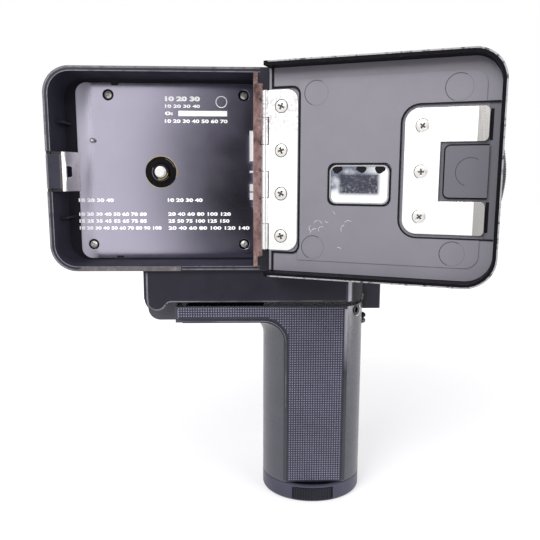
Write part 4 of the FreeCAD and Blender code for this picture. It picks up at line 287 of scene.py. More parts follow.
def keel_finishes():
    """Black and lighter towards the front, with a painted highlight stripe on the nose and painted shade
    past it.
    """
    keel = satin("keel_black", (0.017, 0.0155, 0.026), 0.36)
    keel.blend(keel.spread(keel.along("X"), -0.03, 0.01), (0.032, 0.028, 0.042))
    # Painted highlight: a bright stripe down the nose.
    keel.blend(keel.within("X", 15.6, 17.6, 0.0003), (0.4, 0.4, 0.47))
    # Painted shade: darker and duller past the stripe.
    keel.patch(keel.spread(keel.along("X"), 0.0176, 0.0186), (0.008, 0.008, 0.012), 0.7)
    # Light edges of the keel and the grip: painted highlights.
    edge = satin("keel_edge_highlight", (0.2, 0.195, 0.23), 0.28, level=0.5)
    edge.clouds((0.05, 0.05, 0.06), 0.02, 0.4, 0.55, 0.8)


def screw_finishes():
    screw = steel("screw_steel", (0.82, 0.8, 0.77), 0.24, dirt=0.25)
    screw.put("Metallic", 0.35)
    # Dark fill in the screws' crosses, painted shadow with dirt, and the dark rings round the door's
    # screw heads.
    satin("recess_shadow_and_dirt", (0.06, 0.05, 0.045), 0.7)


def print_finish():
    made = Finish("print_white", (0.97, 0.97, 0.98), 0.45)
    made.vary(0.03, 0.002, detail=3)
    # The emission is painted light: everything in this finish glows, the chamber print, the figures, the
    # lens index and the liner scratches, so that it stays white in shade.
    made.put("Emission Color", (1, 1, 1))
    made.put("Emission Strength", 0.42)
    made.gloss(0.45, 0.6, 0.002)


def grip_finishes():
    satin("grip_black", (0.036, 0.0355, 0.053), 0.27, 0.000004, 0.9)
    satin("panel_black", (0.03, 0.029, 0.045), 0.44, level=0.35)
    # The dots are far lighter than the panel: a painted highlight on each dot.
    dots = satin("dot_highlight_grey", (0.22, 0.215, 0.3), 0.34, level=0.4)
    dots.vary(0.2, 0.03, detail=5)
    ridge = satin("ridge_black", (0.03, 0.03, 0.042), 0.2, level=0.6)
    # Painted highlight on the front ridges, strongest towards their top.
    upper = ridge.times(ridge.within("X", 10, 20), ridge.spread(ridge.along("Z"), 0.068, 0.102))
    ridge.blend(upper, (0.5, 0.49, 0.55))
    satin("cap_black", (0.06, 0.058, 0.09), 0.36)
    satin("tab_grey", (0.02, 0.0195, 0.028), 0.4, level=0.2)
    satin("trigger_black", (0.004, 0.004, 0.005), 0.34, level=0.1)
    satin("run_grey", (0.08, 0.08, 0.105), 0.34)
    socket = Finish("socket_black", (0.02, 0.02, 0.023), 0.3)
    socket.vary(0.2, 0.002)
    socket.gloss(0.2, 0.34, 0.003)


def small_metal_finishes():
    """Plain metals of small and hidden pieces, each a colour and a roughness."""
    for name, colour, roughness in (
            ("bush_brass", (0.62, 0.47, 0.24), 0.32), ("cell_can", (0.5, 0.45, 0.38), 0.35),
            ("contact_metal", (0.7, 0.62, 0.42), 0.3), ("pin_steel", (0.75, 0.74, 0.73), 0.22),
            ("socket_bright", (0.8, 0.8, 0.82), 0.16), ("lever_chrome", (0.75, 0.75, 0.76), 0.16),
            ("shaft_steel", (0.6, 0.6, 0.6), 0.3), ("pinion_brass", (0.72, 0.56, 0.28), 0.3),
            ("chassis_plate", (0.62, 0.62, 0.62), 0.35)):
        steel(name, colour, roughness)
    steel("motor_can", (0.6, 0.6, 0.6), 0.32, brushed=(10, 1, 1))


def floor_finish():
    """Polished lavender plate, bluer to the right, with painted light at its left end: dull white there.
    """
    floor = Finish("floor_lavender", (0.5, 0.475, 0.58), 0.14, metallic=1.0)
    floor.vary(0.04, 0.02, detail=3)
    floor.gloss(0.12, 0.16, 0.02, detail=2)
    floor.grain(0.0000006, 0.0004, detail=2)
    floor.blend(floor.spread(floor.along("X"), -0.095, -0.04), (0.535, 0.505, 0.67))
    # Painted light: the left end turns dull white in place of the bright reflection along it.
    left = floor.spread(floor.along("X"), -0.1175, -0.1105, 1, 0)
    floor.blend(left, (0.8, 0.76, 0.92))
    floor.change("Metallic", left, 0.0)
    floor.change("Roughness", left, 0.6)


def chamber_finishes():
    satin("bezel_black", (0.005, 0.005, 0.006), 0.14, 0.000002, level=0.15)
    spindle = steel("spindle_steel", (0.96, 0.95, 0.93), 0.2)
    spindle.put("Metallic", 0.3)
    beyond_tip = spindle.spread(spindle.from_axis(*SPINDLE), 0.0028, 0.003)
    spindle.patch(beyond_tip, (0.03, 0.03, 0.035), 0.25)
    satin("gear_plastic", (0.6, 0.58, 0.52), 0.45, level=0.5)
    # Painted highlight: a white, mostly non-metal base, so that the gate's edge shows as bright as its
    # highlight.
    gate = steel("gate_steel", (0.92, 0.92, 0.91), 0.24)
    gate.put("Metallic", 0.2)
    satin("feeler_black", (0.62, 0.62, 0.61), 0.4, level=0.5)
    catch = satin("catch_steel", (0.026, 0.026, 0.042), 0.3)
    catch.blend(catch.within("X", -129, -126.9, 0.0001), (0.15, 0.145, 0.17))
    catch.blend(catch.within("X", -121.5, -120.5, 0.0002), (0.1, 0.08, 0.075))


def foam_finish():
    """Crumbling brown foam, with dark patches along its right edge."""
    foam = Finish("foam", (0.25, 0.155, 0.148), 0.9, Specular_IOR_Level=0.15)
    foam.vary(0.65, 0.004, detail=7, stretch=(1, 1, 1.6), rough=0.65)
    foam.clouds((0.56, 0.42, 0.4), 0.003, 0.55, 0.7, 0.75, detail=7, rough=0.75, shift=0.4)
    right = foam.within("X", -28.3, -20, 0.0006)
    right_edge_dark = foam.spread(foam.noise(0.0035, detail=6, rough=0.7, shift=0.9), 0.52, 0.58)
    foam.blend(foam.times(right, right_edge_dark), (0.012, 0.01, 0.01))
    foam.grain(0.0004, 0.0008, detail=6, rough=0.8)


def spring_finish():
    """Brushed clip with a painted highlight on its bend and a black root."""
    spring = steel("spring_steel", (0.66, 0.645, 0.635), 0.3, brushed=(1, 1, 12))
    spring.blend(spring.within("X", -121.7, -120.1, 0.0001), (1.0, 1.0, 1.0))
    root = spring.within("X", -127, -121.7, 0.0002)
    spring.patch(root, (0.01, 0.01, 0.014), 0.5)
    spring.put("Metallic", spring.spread(root, 0, 1, 1, 0))


def door_finishes():
    satin("door_black", (0.005, 0.005, 0.0075), 0.45, level=0.05)
    # Light line round the door's rim: partly wear, partly painted highlight.
    worn = satin("edge_lit_and_worn", (0.36, 0.35, 0.37), 0.35, level=0.5)
    worn.clouds((0.04, 0.04, 0.045), 0.002, 0.52, 0.58, detail=6, rough=0.7, shift=0.5)
    edge = satin("door_edge", (0.09, 0.088, 0.1), 0.3, level=0.5)
    edge.rubbed(0.003, 0.58, (0.85, 0.85, 0.85), 0.3, shift=0.12)
    # Black lines: painted shadow in the liner and in the cap's gaps, and the window's outline.
    satin("line_black", (0.008, 0.008, 0.01), 0.6, level=0.1)
    # Ejector marks are shaded by paint: a grey arc of painted shade and a light arc of painted
    # highlight; the light one also draws the spindle's glints.
    satin("mark_grey", (0.05, 0.048, 0.058), 0.42, level=0.4)
    satin("mark_light", (0.13, 0.125, 0.15), 0.42, level=0.4)
    satin("pull_chrome", (0.03, 0.03, 0.036), 0.3, level=0.5)


def liner_finish():
    """Grey plastic, darker in the square block, with painted shade behind the plate's bent ends."""
    liner = Finish("liner_grey", (0.21, 0.2, 0.235), 0.42, Specular_IOR_Level=0.5)
    liner.vary(0.05, 0.015, detail=4)
    liner.gloss(0.38, 0.5, 0.003, detail=4)
    # The square block is darker; behind the bent ends the darker grey is painted shade.
    for near, low, high in ((77.2, 155.0, 180.0), (95.6, 139.9, 194.9)):
        along, up = liner.within("door", near, 101, 0.0002), liner.within("Z", low, high, 0.0002)
        liner.blend(liner.times(along, up), (0.125, 0.12, 0.145))
    liner.grain(0.00001, 0.0004, detail=2)


def door_metal_finishes():
    zinc = steel("hinge_zinc", (0.93, 0.93, 0.92), 0.34)
    cloud = zinc.spread(zinc.noise(0.0014, detail=8, rough=0.8, shift=0.6), 0.42, 0.54, 0, 0.85)
    zinc.patch(zinc.times(zinc.within("Z", 181, 210, 0.009), cloud), (0.34, 0.32, 0.34), 0.5)
    plate = steel("plate_steel", (0.97, 0.97, 0.97), 0.26, (1, 1, 10), relief=0.000001, shade=0.97)
    plate.blend(plate.within("door", 91.6, 97, 0.00005), (0.4, 0.385, 0.375))
    steel("plate_bent", (0.42, 0.42, 0.44), 0.3, brushed=(1, 1, 10))


def window_finish():
    """A clear pane with a dark smudged core, and painted reflections: bright patches, a bright side and
    a bright foot.
    """
    pane = Finish("window_clear", (0.15, 0.165, 0.22), 0.2, 0.3, Coat_Weight=0.6, Coat_Roughness=0.05)
    pane.vary(0.5, 0.003, detail=5, rough=0.7)
    # Painted reflections: bright patches, the side away from the hinge and the foot turn white.
    bright = pane.spread(pane.noise(0.009, detail=4, shift=0.9), 0.5, 0.62, 0, 0.5)
    side = pane.spread(pane.from_hinge(), 0.044, 0.054)
    foot = pane.spread(pane.along("Z"), 0.1605, 0.1575)
    for mask in (bright, side, foot):
        pane.blend(mask, (0.95, 0.96, 1.0))
    core = pane.times(pane.within("door", 34.8, 52.4, 0.0008), pane.within("Z", 157.6, 166.6, 0.0008))
    cloud = pane.spread(pane.noise(0.0013, detail=8, rough=0.85, shift=0.37), 0.34, 0.5, 0.5, 1)
    pane.patch(pane.times(core, cloud), (0.008, 0.009, 0.03), 0.4)


def lens_finishes():
    for name, level, roughness in (("lens_black", 0.015, 0.36), ("lens_ring", 0.018, 0.42),
                                   ("finder_black", 0.018, 0.38), ("ring_black", 0.02, 0.4),
                                   ("dial_black", 0.016, 0.33), ("rocker_black", 0.014, 0.3)):
        satin(name, (level, level, level + 0.001), roughness)
    satin("eyecup_rubber", (0.012, 0.012, 0.012), 0.65, 0.00003)
    satin("shutter_black", (0.02, 0.02, 0.02), 0.5)
    for name in ("glass_front", "glass_rear"):
        glass = Finish(name, (0.92, 0.94, 1.0), 0.03, Transmission_Weight=0.92, Coat_Weight=0.6,
                       Coat_Roughness=0.03, Coat_Tint=(0.75, 0.62, 1))
        glass.grain(0.000001, 0.01, detail=2)
        glass.gloss(0.02, 0.05, 0.01)


# Carried-over CAD nodes: their finish, softened edges in millimetres and smooth curves
EDGE_WIDTHS = {
    0.1: "film_gate cartridge_spring door_panel",
    0.12: "door_hinge_leaf pressure_plate",
    0.15: "floor_plate door_catch body_hinge_leaf cap_thumb_tab",
    0.2: "grip_panels release_socket spindle_bezel drive_spindle dioptre_ring accessory_shoe zoom_lever",
    0.25: "latch_hook",
    0.3: "lens_barrel filter_ring finder_tube speed_dial exposure_dial",
    0.4: "left_cover grip_shell door_shell zoom_rocker",
    0.45: "keel",
    0.5: "body_shell battery_cap eyecup",
    0.6: "front_housing",
}
ROUNDING = {name: width for width, names in EDGE_WIDTHS.items() for name in names.split()}
EDGE_FINISH = {"body_shell": "body_edge", "front_housing": "body_edge", "left_cover": "body_edge",
               "keel": "keel_edge_highlight", "door_shell": "door_edge"}


def line_cavity(item):
    """Give the walls inside the film chamber their own finish."""
    item.data.materials.append(MATERIALS["cavity_black"].material)
    slot = len(item.data.materials) - 1
    low, high = Vector((-127, -19.5, 120.8)) * MM, Vector((-24, 3.5, 214.2)) * MM
    for face in item.data.polygons:
        if all(low[axis] < face.center[axis] < high[axis] for axis in range(3)):
            face.material_index = slot


SHARP = 35


def modify(item, kind, **values):
    return settle(item.modifiers.new(kind.lower(), kind), **values)


def soften(item, name):
    """Round a node's edges, in a finish of their own: worn on the body and door, a painted highlight on
    the keel.
    """
    modify(item, "DECIMATE", decimate_type="DISSOLVE", angle_limit=math.radians(0.5))
    bevel = modify(item, "BEVEL", width=ROUNDING[name] * MM, segments=3, limit_method="ANGLE",
                   angle_limit=math.radians(SHARP))
    if name in EDGE_FINISH:
        item.data.materials.append(MATERIALS[EDGE_FINISH[name]].material)
        bevel.material = 1


def dress_nodes():
    slots = {row["node"]: row["material_slot"] for row in frame["record"]["subparts"]}
    for name, item in nodes.items():
        item.data.materials.clear()
        item.data.materials.append(MATERIALS[slots[name]].material)
        for face in item.data.polygons:
            face.material_index = 0
            face.use_smooth = True
        modify(item, "WELD", merge_threshold=0.000005)
        if name in ROUNDING:
            soften(item, name)
        else:
            modify(item, "EDGE_SPLIT", split_angle=math.radians(SHARP))
        if name == "body_shell":
            line_cavity(item)
        modify(item, "WEIGHTED_NORMAL", weight=80, keep_sharp=True)


# Pieces of the scene, in millimetres along three axes u, v and w
def axes(u, v, w, origin=(0, 0, 0)):
    turn = Matrix((u, v, w)).transposed().to_4x4()
    return Matrix.Translation(Vector(origin) * MM) @ turn @ Matrix.Scale(MM, 4)


PLAIN = Matrix.Scale(MM, 4)
NEAR = axes((1, 0, 0), (0, 0, 1), (0, -1, 0))
FAR = axes((-1, 0, 0), (0, 0, 1), (0, 1, 0))


def door_axes():
    swing = next(row for row in frame["record"]["behaviour"]["joints"] if row["name"] == "door_swing")
    x, y = swing["pos_m"][:2]
    shut = swing["range_deg"][0]
    turn = Matrix.Rotation(math.radians(-shut), 4, "Z")
    return Matrix.Translation((x, y, 0)) @ turn @ FAR


DOOR = door_axes()
# Heights of the faces that trim lies on, each along w of its own axes
BODY_FACE, KEEL_FACE, FLOOR_FACE, DIAL_FACE = 20, 18, -4, 33.8
LINER_FACE, DOOR_RIM = 0.4, 7.6


def arc(u, v, radius, start, end, steps=8):
    turns = [math.radians(start + (end - start) * step / steps) for step in range(steps + 1)]
    return [(u + radius * math.cos(turn), v + radius * math.sin(turn)) for turn in turns]


def circle(u, v, radius, steps=48):
    return arc(u, v, radius, 0, 360, steps)[:-1]


def rounded(low, high, corner):
    """A rectangle with rounded corners."""
    (u0, v0), (u1, v1) = low, high
    left, right, under, over = u0 + corner, u1 - corner, v0 + corner, v1 - corner
    points = []
    for quarter, (u, v) in enumerate(((right, over), (left, over), (left, under), (right, under))):
        points += arc(u, v, corner, 90 * quarter, 90 * quarter + 90, 6)
    return points


def sideways(path, closed):
    """The mitred direction to the left of a path, at each of its points."""
    result = []
    for index, point in enumerate(path):
        here = Vector(point)
        before = Vector(path[index - 1]) if closed or index else here
        after = Vector(path[(index + 1) % len(path)]) if closed or index < len(path) - 1 else here
        first = (here - before).normalized()
        second = (after - here).normalized()
        along = (first + second).normalized()
        straight = max(0.3, along.dot(second if second.length else first))
        result.append(Vector((-along.y, along.x)) / straight)
    return result


def figures(text, height, width=None, weight=0.0):
    """Points and faces of plain numbers from their lower left corner, in millimetres."""
    curve = bpy.data.curves.new("figures", "FONT")
    settle(curve, body=text, resolution_u=3, offset=weight)
    item = bpy.data.objects.new("figures", curve)
    mesh = bpy.data.meshes.new_from_object(item)
    points = [Vector(vertex.co) for vertex in mesh.vertices]
    faces = [tuple(face.vertices) for face in mesh.polygons]
    bpy.data.objects.remove(item)
    low = [min(point[axis] for point in points) for axis in (0, 1)]
    high = [max(point[axis] for point in points) for axis in (0, 1)]
    tall = height / (high[1] - low[1])
    wide = width / (high[0] - low[0]) if width else tall
    return [((point.x - low[0]) * wide, (point.y - low[1]) * tall) for point in points], faces


class Form:
    """The faces of one piece."""

    def __init__(self, place):
        self.place = place
        self.points = []
        self.faces = []

    def add(self, points, faces):
        start = len(self.points)
        self.points += [self.place @ Vector(point) for point in points]
        self.faces += [tuple(start + index for index in face) for face in faces]

    def skin(self, loops, closed=False, caps=True):
        """Faces between loops of points, with the first and last loop filled."""
        count = len(loops[0])
        faces = []
        for ring in range(len(loops) if closed else len(loops) - 1):
            after = (ring + 1) % len(loops)
            for index in range(count):
                side = (index + 1) % count
                faces.append((ring * count + index, ring * count + side, after * count + side,
                              after * count + index))
        if caps and not closed:
            faces.append(tuple(reversed(range(count))))
            faces.append(tuple((len(loops) - 1) * count + index for index in range(count)))
        self.add([point for loop in loops for point in loop], faces)

    def slab(self, outline, low, high, chamfer=0.0):
        loops = [[(u, v, low) for u, v in outline]]
        if chamfer:
            shift = [direction * chamfer for direction in sideways(outline, True)]
            loops.append([(u, v, high - chamfer) for u, v in outline])
            loops.append([(u + side.x, v + side.y, high) for (u, v), side in zip(outline, shift)])
        else:
            loops.append([(u, v, high) for u, v in outline])
        self.skin(loops)

    def line(self, path, width, low, high, closed=False):
        """A strip of square section along a path."""
        loops = []
        for (u, v), side in zip(path, sideways(path, closed)):
            edge = side * width / 2
            loops.append([(u - edge.x, v - edge.y, low), (u - edge.x, v - edge.y, high),
                          (u + edge.x, v + edge.y, high), (u + edge.x, v + edge.y, low)])
        self.skin(loops, closed)

    def lathe(self, profile, u=0.0, v=0.0, steps=48, closed=False, teeth=None):
        """A turned shape from radius and height pairs; teeth cut every second point back."""
        loops = []
        for radius, height in profile:
            ring = []
            for step in range(steps):
                turn = math.tau * step / steps
                reach = radius - (teeth if teeth and step % 4 > 1 else 0)
                ring.append((u + reach * math.cos(turn), v + reach * math.sin(turn), height))
            loops.append(ring)
        self.skin(loops, closed)

    def number(self, text, height, u, v, w, width=None, centred=False, weight=0.0):
        points, faces = figures(text, height, width, weight)
        if centred:
            u -= max(point[0] for point in points) / 2
            v -= height / 2
        self.add([(u + a, v + b, w) for a, b in points], faces)

    def piece(self, name, body, slot, finish=None, replaces=(), sharp=SHARP):
        mesh = bpy.data.meshes.new(name)
        mesh.from_pydata(self.points, [], self.faces)
        shape = bmesh.new()
        shape.from_mesh(mesh)
        bmesh.ops.recalc_face_normals(shape, faces=shape.faces)
        shape.to_mesh(mesh)
        shape.free()
        mesh.materials.append(MATERIALS[finish or slot].material)
        mesh.shade_smooth()
        mesh.set_sharp_from_angle(angle=math.radians(sharp))
        item = put_in(name, mesh)
        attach(item, body)
        if replaces:
            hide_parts(*replaces)
        return item


# Cross-head screws
def screw_head(form, u, v, low, high, radius, turn):
    """A domed head with a cross recess cut to the shape of its arms."""
    half = radius * 0.13
    arm = radius * 0.56
    deep = high - low + radius * 0.25
    radii = (radius * 0.02, half * 0.8, half * 1.45, arm * 0.7, arm, arm * 1.08, radius * 0.8,
             radius * 0.94, radius)
    loops = []
    for index, reach in enumerate(radii):
        edge = math.asin(half / reach) if reach > half * 1.42 else math.radians(40)
        wall = min(math.radians(44), edge + math.asin(min(1, radius * 0.05 / reach)))
        stops = (0, edge, wall, math.pi / 4, math.pi / 2 - wall, math.pi / 2 - edge)
        dome = low + (high - low) * (1 - 0.6 * (reach / radius) ** 3)
        loop = []
        for quarter in range(4):
            for spot, stop in enumerate(stops):
                inside = index < 2 or (index < 5 and spot in (0, 1, 5))
                height = dome - deep * (1 - 0.45 * reach / arm) if inside else dome
                if index == 2 and spot == 3:
                    height = dome
                angle = stop + quarter * math.pi / 2 + turn
                loop.append((u + reach * math.cos(angle), v + reach * math.sin(angle), height))
        loops.append(loop)
    loops.append([(a, b, low) for a, b, height in loops[-1]])
    form.skin(loops)


def cross_shadow_and_dirt(form, u, v, low, high, radius, turn):
    """Dark fill at the bottom of a cross recess: painted shadow with dirt."""
    half, arm = radius * 0.11, radius * 0.52
    outline = []
    for quarter in range(4):
        across, up = (way(turn + quarter * math.pi / 2) for way in (math.cos, math.sin))
        for a, b in ((arm, half), (half, half), (half, arm)):
            outline.append((u + a * across - b * up, v + a * up + b * across))
    form.slab(outline, low, high)


FLOOR_SCREWS = ((-113.2, 130.4), (-35.7, 130.4), (-103.2, 205.2), (-35.7, 205.2))
LEAF_SCREWS = [(7.8, 138.1 + 19.4 * index, 0.3 + 0.8 * index) for index in range(4)]
PLATE_SCREWS = [(70, 167.4 + 18.8 * (index - 1), 0.7 + 0.9 * index) for index in range(3)]


def add_floor_screws():
    heads = Form(NEAR)
    for index, (x, z) in enumerate(FLOOR_SCREWS):
        screw_head(heads, x, z, -4.7, -3.6, 1.8, 0.5 + index)
    heads.piece("floor_screw_heads", "camera", "screw_steel", replaces=("floor_screws",))


def add_door_screws():
    heads = Form(DOOR)
    for rows, low in ((LEAF_SCREWS, 0.2), (PLATE_SCREWS, 0.5)):
        for u, z, turn in rows:
            screw_head(heads, u, z, low, low + 0.6, 2.75, turn)
    heads.piece("door_screw_heads", "door", "screw_steel", replaces=("door_screws",))


def add_cover_screws():
    heads = Form(FAR)
    for index, x in enumerate((-115.2, -31.1, 24.7)):
        for side, z in enumerate((126.25, 208.75)):
            screw_head(heads, -x, z, 28.4, 29.1, 1.8, 0.4 + 0.7 * index + side)
    heads.piece("cover_screw_heads", "camera", "screw_steel", replaces=("cover_screws",))


def add_screw_shadows_and_dirt():
    """Dark rings round the door's screw heads, and painted shadow with dirt in their crosses."""
    dirt = Form(DOOR)
    for u, z, turn in LEAF_SCREWS:
        cross_shadow_and_dirt(dirt, u, z, 0.45, 0.66, 2.75, turn)
        dirt.line(circle(u, z, 2.9, 32), 0.4, 0.38, 0.42, closed=True)
    for index, (u, z, turn) in enumerate(PLATE_SCREWS):
        dirt.line(arc(u, z, 2.9, 100 - 30 * index, 250), 0.3, 0.68, 0.72)
        cross_shadow_and_dirt(dirt, u, z, 0.72, 0.84, 2.3, turn)
    dirt.piece("door_screw_shadows_and_dirt", "door", "screw_steel", "recess_shadow_and_dirt")


def add_floor_recesses():
    # Black rings at the bottom of the screws' recesses: painted shade.
    rings = Form(NEAR)
    for x, z in FLOOR_SCREWS:
        rings.line(circle(x, z, 2.25, 32), 0.8, -4.75, -4.65, closed=True)
    rings.piece("floor_screw_recesses", "camera", "bezel_black")


# Film chamber
PRINT = FLOOR_FACE + 0.02
SPINDLE = (-77.8, 167.3)


def add_chamber_print():
    form = Form(NEAR)
    for text, height, x, z, width in (
            ("10 20 30", 2.4, -75.0, 202.3, 17.4), ("10 20 30 40", 1.6, -75.1, 199.1, 17.5),
            ("0:", 1.8, -75.2, 195.5, 4.0), ("10 20 30 40 50 60 70", 1.8, -75.3, 191.7, 31.4),
            ("10 20 30 40", 1.8, -119.9, 152.1, 17.7),
            ("10 20 30 40 50 60 70 80", 1.8, -120.0, 145.0, 34.3),
            ("15 25 35 45 55 65 75 85", 1.8, -120.0, 141.5, 34.3),
            ("10 20 30 40 50 60 70 80 90 100", 1.8, -120.0, 137.9, 41.7),
            ("10 20 30 40", 1.8, -74.7, 152.2, 17.7), ("20 40 60 80 100 120", 1.8, -74.7, 145.1, 32.2),
            ("25 50 75 100 125 150", 1.8, -74.7, 141.5, 31.4),
            ("20 40 60 80 100 120 140", 1.8, -74.7, 137.9, 41.8)):
        form.number(text, height, x, z, PRINT, width, weight=0.055 if height > 2 else 0.035)
    form.slab([(-68.5, 195.1), (-44.1, 195.1), (-44.1, 197.7), (-68.5, 197.7)], FLOOR_FACE, PRINT)
    form.line(circle(-46.9, 202.1, 2.7, 32), 0.35, FLOOR_FACE, PRINT, closed=True)
    form.piece("floor_print", "camera", "floor_lavender", "print_white")


def lumps(x, y, z):
    return noise.noise(Vector((x, y, z)))


def add_foam():
    """A crumbling foam strip: narrow at both ends, with pores and a ragged right edge."""
    low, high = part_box("light_seal")
    x0, x1 = low.x / MM, high.x / MM
    z0, z1 = low.z / MM, high.z / MM
    base, top = -high.y / MM, -low.y / MM
    columns, rows = 16, 300
    grid = []
    for row in range(rows + 1):
        z = z0 + (z1 - z0) * row / rows
        end = min(z - z0, z1 - z)
        reach = (x1 - x0) * (0.5 if end < 5 else 1)
        reach += 0.25 * lumps(0, z * 0.9, 3) + 0.15 * lumps(0, z * 3, 7) - 0.25
        for column in range(columns + 1):
            share = column / columns
            x = x0 + max(1.0, reach) * share
            lump = lumps(x * 0.8, z * 0.6, 0) * 0.5 + lumps(x * 2.2, z * 2.2, 5) * 0.5
            height = top - 0.28 + 0.28 * lump
            if column in (0, columns) or row in (0, rows):
                height = base
            grid.append((x, z, min(top, max(base, height))))
    faces = []
    for row in range(rows):
        for column in range(columns):
            corner = row * (columns + 1) + column
            faces.append((corner, corner + 1, corner + columns + 2, corner + columns + 1))
    form = Form(NEAR)
    form.add(grid, faces)
    form.piece("foam_strip", "camera", "foam", replaces=("light_seal",), sharp=80)


def add_spindle_trim():
    """The bright tip, the bezel's worn brass edge, its marks and two arcs of painted highlight."""
    tip, brass, marks, glint = Form(NEAR), Form(NEAR), Form(NEAR), Form(NEAR)
    tip.lathe([(2.7, -1.5), (2.7, -1.35), (2.3, -1.2), (1.2, -1.1), (0.05, -1.08)], *SPINDLE, 40)
    tip.piece("spindle_tip", "take_up", "spindle_steel")
    brass.line(arc(*SPINDLE, 8.0, -20, 140, 40), 0.45, -3.99, -3.8)
    brass.line(arc(*SPINDLE, 8.0, 200, 300, 30), 0.3, -3.99, -3.85)
    brass.line(arc(*SPINDLE, 3.6, -110, -10, 20), 0.5, -1.5, -1.42)
    brass.piece("spindle_wear", "camera", "spindle_steel", "bush_brass")
    for turn in range(165, 291, 25):
        marks.line(arc(*SPINDLE, 6.2, turn - 7, turn + 7, 3), 2.4, -3.6, -3.42)
    marks.piece("spindle_marks", "camera", "bezel_black")
    glint.line(arc(*SPINDLE, 4.4, 150, 330, 20), 0.35, -3.45, -3.35)
    glint.line(arc(*SPINDLE, 7.1, 20, 70, 12), 0.3, -3.6, -3.45)
    glint.piece("spindle_glints", "camera", "bezel_black", "mark_light")


def add_catch_lips():
    """Rim wall beside the catch, clear of its ends."""
    form = Form(PLAIN)
    for low, high in ((157.9, 159.22), (175.18, 176.5)):
        form.slab([(-127.6, -19.4), (-125.8, -19.4), (-125.8, -12), (-127.6, -12)], low, high)
    form.piece("catch_lips", "camera", "body_black")


def rim_path(near, far, end, corner, stop):
    """Along one end of a rim, round its corner and up its side as far as stop."""
    side = math.copysign(1, far - near)
    way = math.copysign(1, stop - end)
    turned = 0 if side > 0 else -180 * way
    bend = arc(far - side * corner, end + way * corner, corner, -90 * way, turned)
    return [(near, end)] + bend + [(far, stop)]


def add_body_rim_highlights_and_wear():
    """Light lines along the rim of the film chamber, partly rubbed wear and partly painted highlight,
    with a bare strip on its lower run.
    """
    form = Form(NEAR)
    low, high = BODY_FACE - 0.01, BODY_FACE + 0.03
    for inset, width in ((0.5, 0.8), (2.15, 0.4)):
        form.line(rim_path(-28, -127.7 + inset, 215 - inset, 12.5 - inset, 176.6), width, low, high)
        form.line(rim_path(-66, -127.7 + inset, 120 + inset, 12.5 - inset, 157.8), width, low, high)
    form.line([(-65.5, 122.25), (-28, 122.25)], 0.35, low, high)
    form.line([(-65.5, 120.9), (-28, 120.9)], 0.55, low, high)
    form.piece("rim_lines", "camera", "body_black", "rim_lit_and_worn")
    strip = Form(NEAR)
    bare = [(-116, 120.6), (-113, 120.25), (-66, 120.25), (-66, 122.2), (-112, 122.2)]
    strip.slab(bare, low, high + 0.01)
    strip.piece("rim_strip", "camera", "body_black", "rim_brown")


def add_keel_lines():
    """Light lines along the mould edges of the base rail: painted highlights."""
    form = Form(NEAR)
    low, high = KEEL_FACE - 0.02, KEEL_FACE + 0.02
    rear = [(-82.9, 118.9), (-82.9, 106.2), (-82.6, 104.0)] + arc(-78.4, 105.0, 4.6, 195, 335, 12)
    form.line(rear, 0.8, low, high + 0.01)
    form.line([(-73.9, 103.4), (-72.9, 104.3), (-71.4, 104.6), (14.9, 104.6)], 0.5, low, high)
    form.line([(14.9, 112.9), (14.9, 104.8)], 0.5, low, high)
    form.piece("keel_lines", "camera", "keel_black", "keel_edge_highlight")


# Door
def add_door_rim_highlights_and_wear():
    # A light line round the rim: partly wear with chips, partly painted highlight.
    form = Form(DOOR)
    for end in (120.3, 214.7):
        form.line(rim_path(4, 101.7, end, 12.7, 167.5), 0.6, DOOR_RIM - 0.05, DOOR_RIM + 0.005)
    form.piece("door_rim_lines", "door", "door_black", "edge_lit_and_worn")


def add_door_lines():
    # Dark lines of painted shadow: at the step beside the hinge leaf, round the plate's recess and the
    # square block, and beside the plate's bent ends.
    lines = Form(DOOR)
    upper = [(16.5, 167), (16.5, 200)] + arc(13, 201, 3.5, 0, 90) + [(3.7, 204.5), (3.7, 214.5)]
    lower = [(16.5, 167), (16.5, 135)] + arc(13, 134.1, 3.5, 0, -90) + [(3.7, 130.6), (3.7, 120.9)]
    for path in (upper, lower):
        lines.line(path, 0.95, 0, 0.42)
    edge = arc(68.8, 187.4, 7.7, 90, 180) + arc(68.8, 147.4, 7.7, 180, 270)
    lines.line([(99.8, 195.1)] + edge + [(99.8, 139.7)], 0.55, -0.5, 0.46)
    block = arc(81.4, 158.8, 2.1, 270, 180) + arc(81.4, 176.0, 2.1, 180, 90)
    lines.line([(96.4, 156.7)] + block + [(96.4, 178.1)], 0.8, -0.55, 0.3)
    for low, high in ((142.6, 155.2), (180.0, 192.4)):
        lines.slab([(96.2, low), (97.5, low), (97.5, high), (96.2, high)], -0.6, -0.52)
    lines.piece("liner_shadow_lines", "door", "liner_grey", "line_black")


def add_scratches():
    """Light scratches on the liner below the window."""
    form = Form(DOOR)
    for u, v, radius, start, end in (
            (25.5, 143.5, 2.2, 20, 150), (27.5, 141.5, 1.6, 60, 200), (24.5, 139.5, 2.6, 80, 170),
            (39.5, 144.5, 1.7, 40, 160), (38.2, 142.2, 2.0, 100, 210), (32.0, 148.5, 1.4, 10, 80),
            (30.0, 146.2, 1.2, 200, 290), (35.2, 132.6, 1.4, 30, 120), (22.6, 142.2, 1.2, 120, 260)):
        form.line(arc(u, v, radius, start, end, 6), 0.06, LINER_FACE - 0.01, LINER_FACE + 0.015)
    form.piece("liner_scratches", "door", "liner_grey", "print_white")


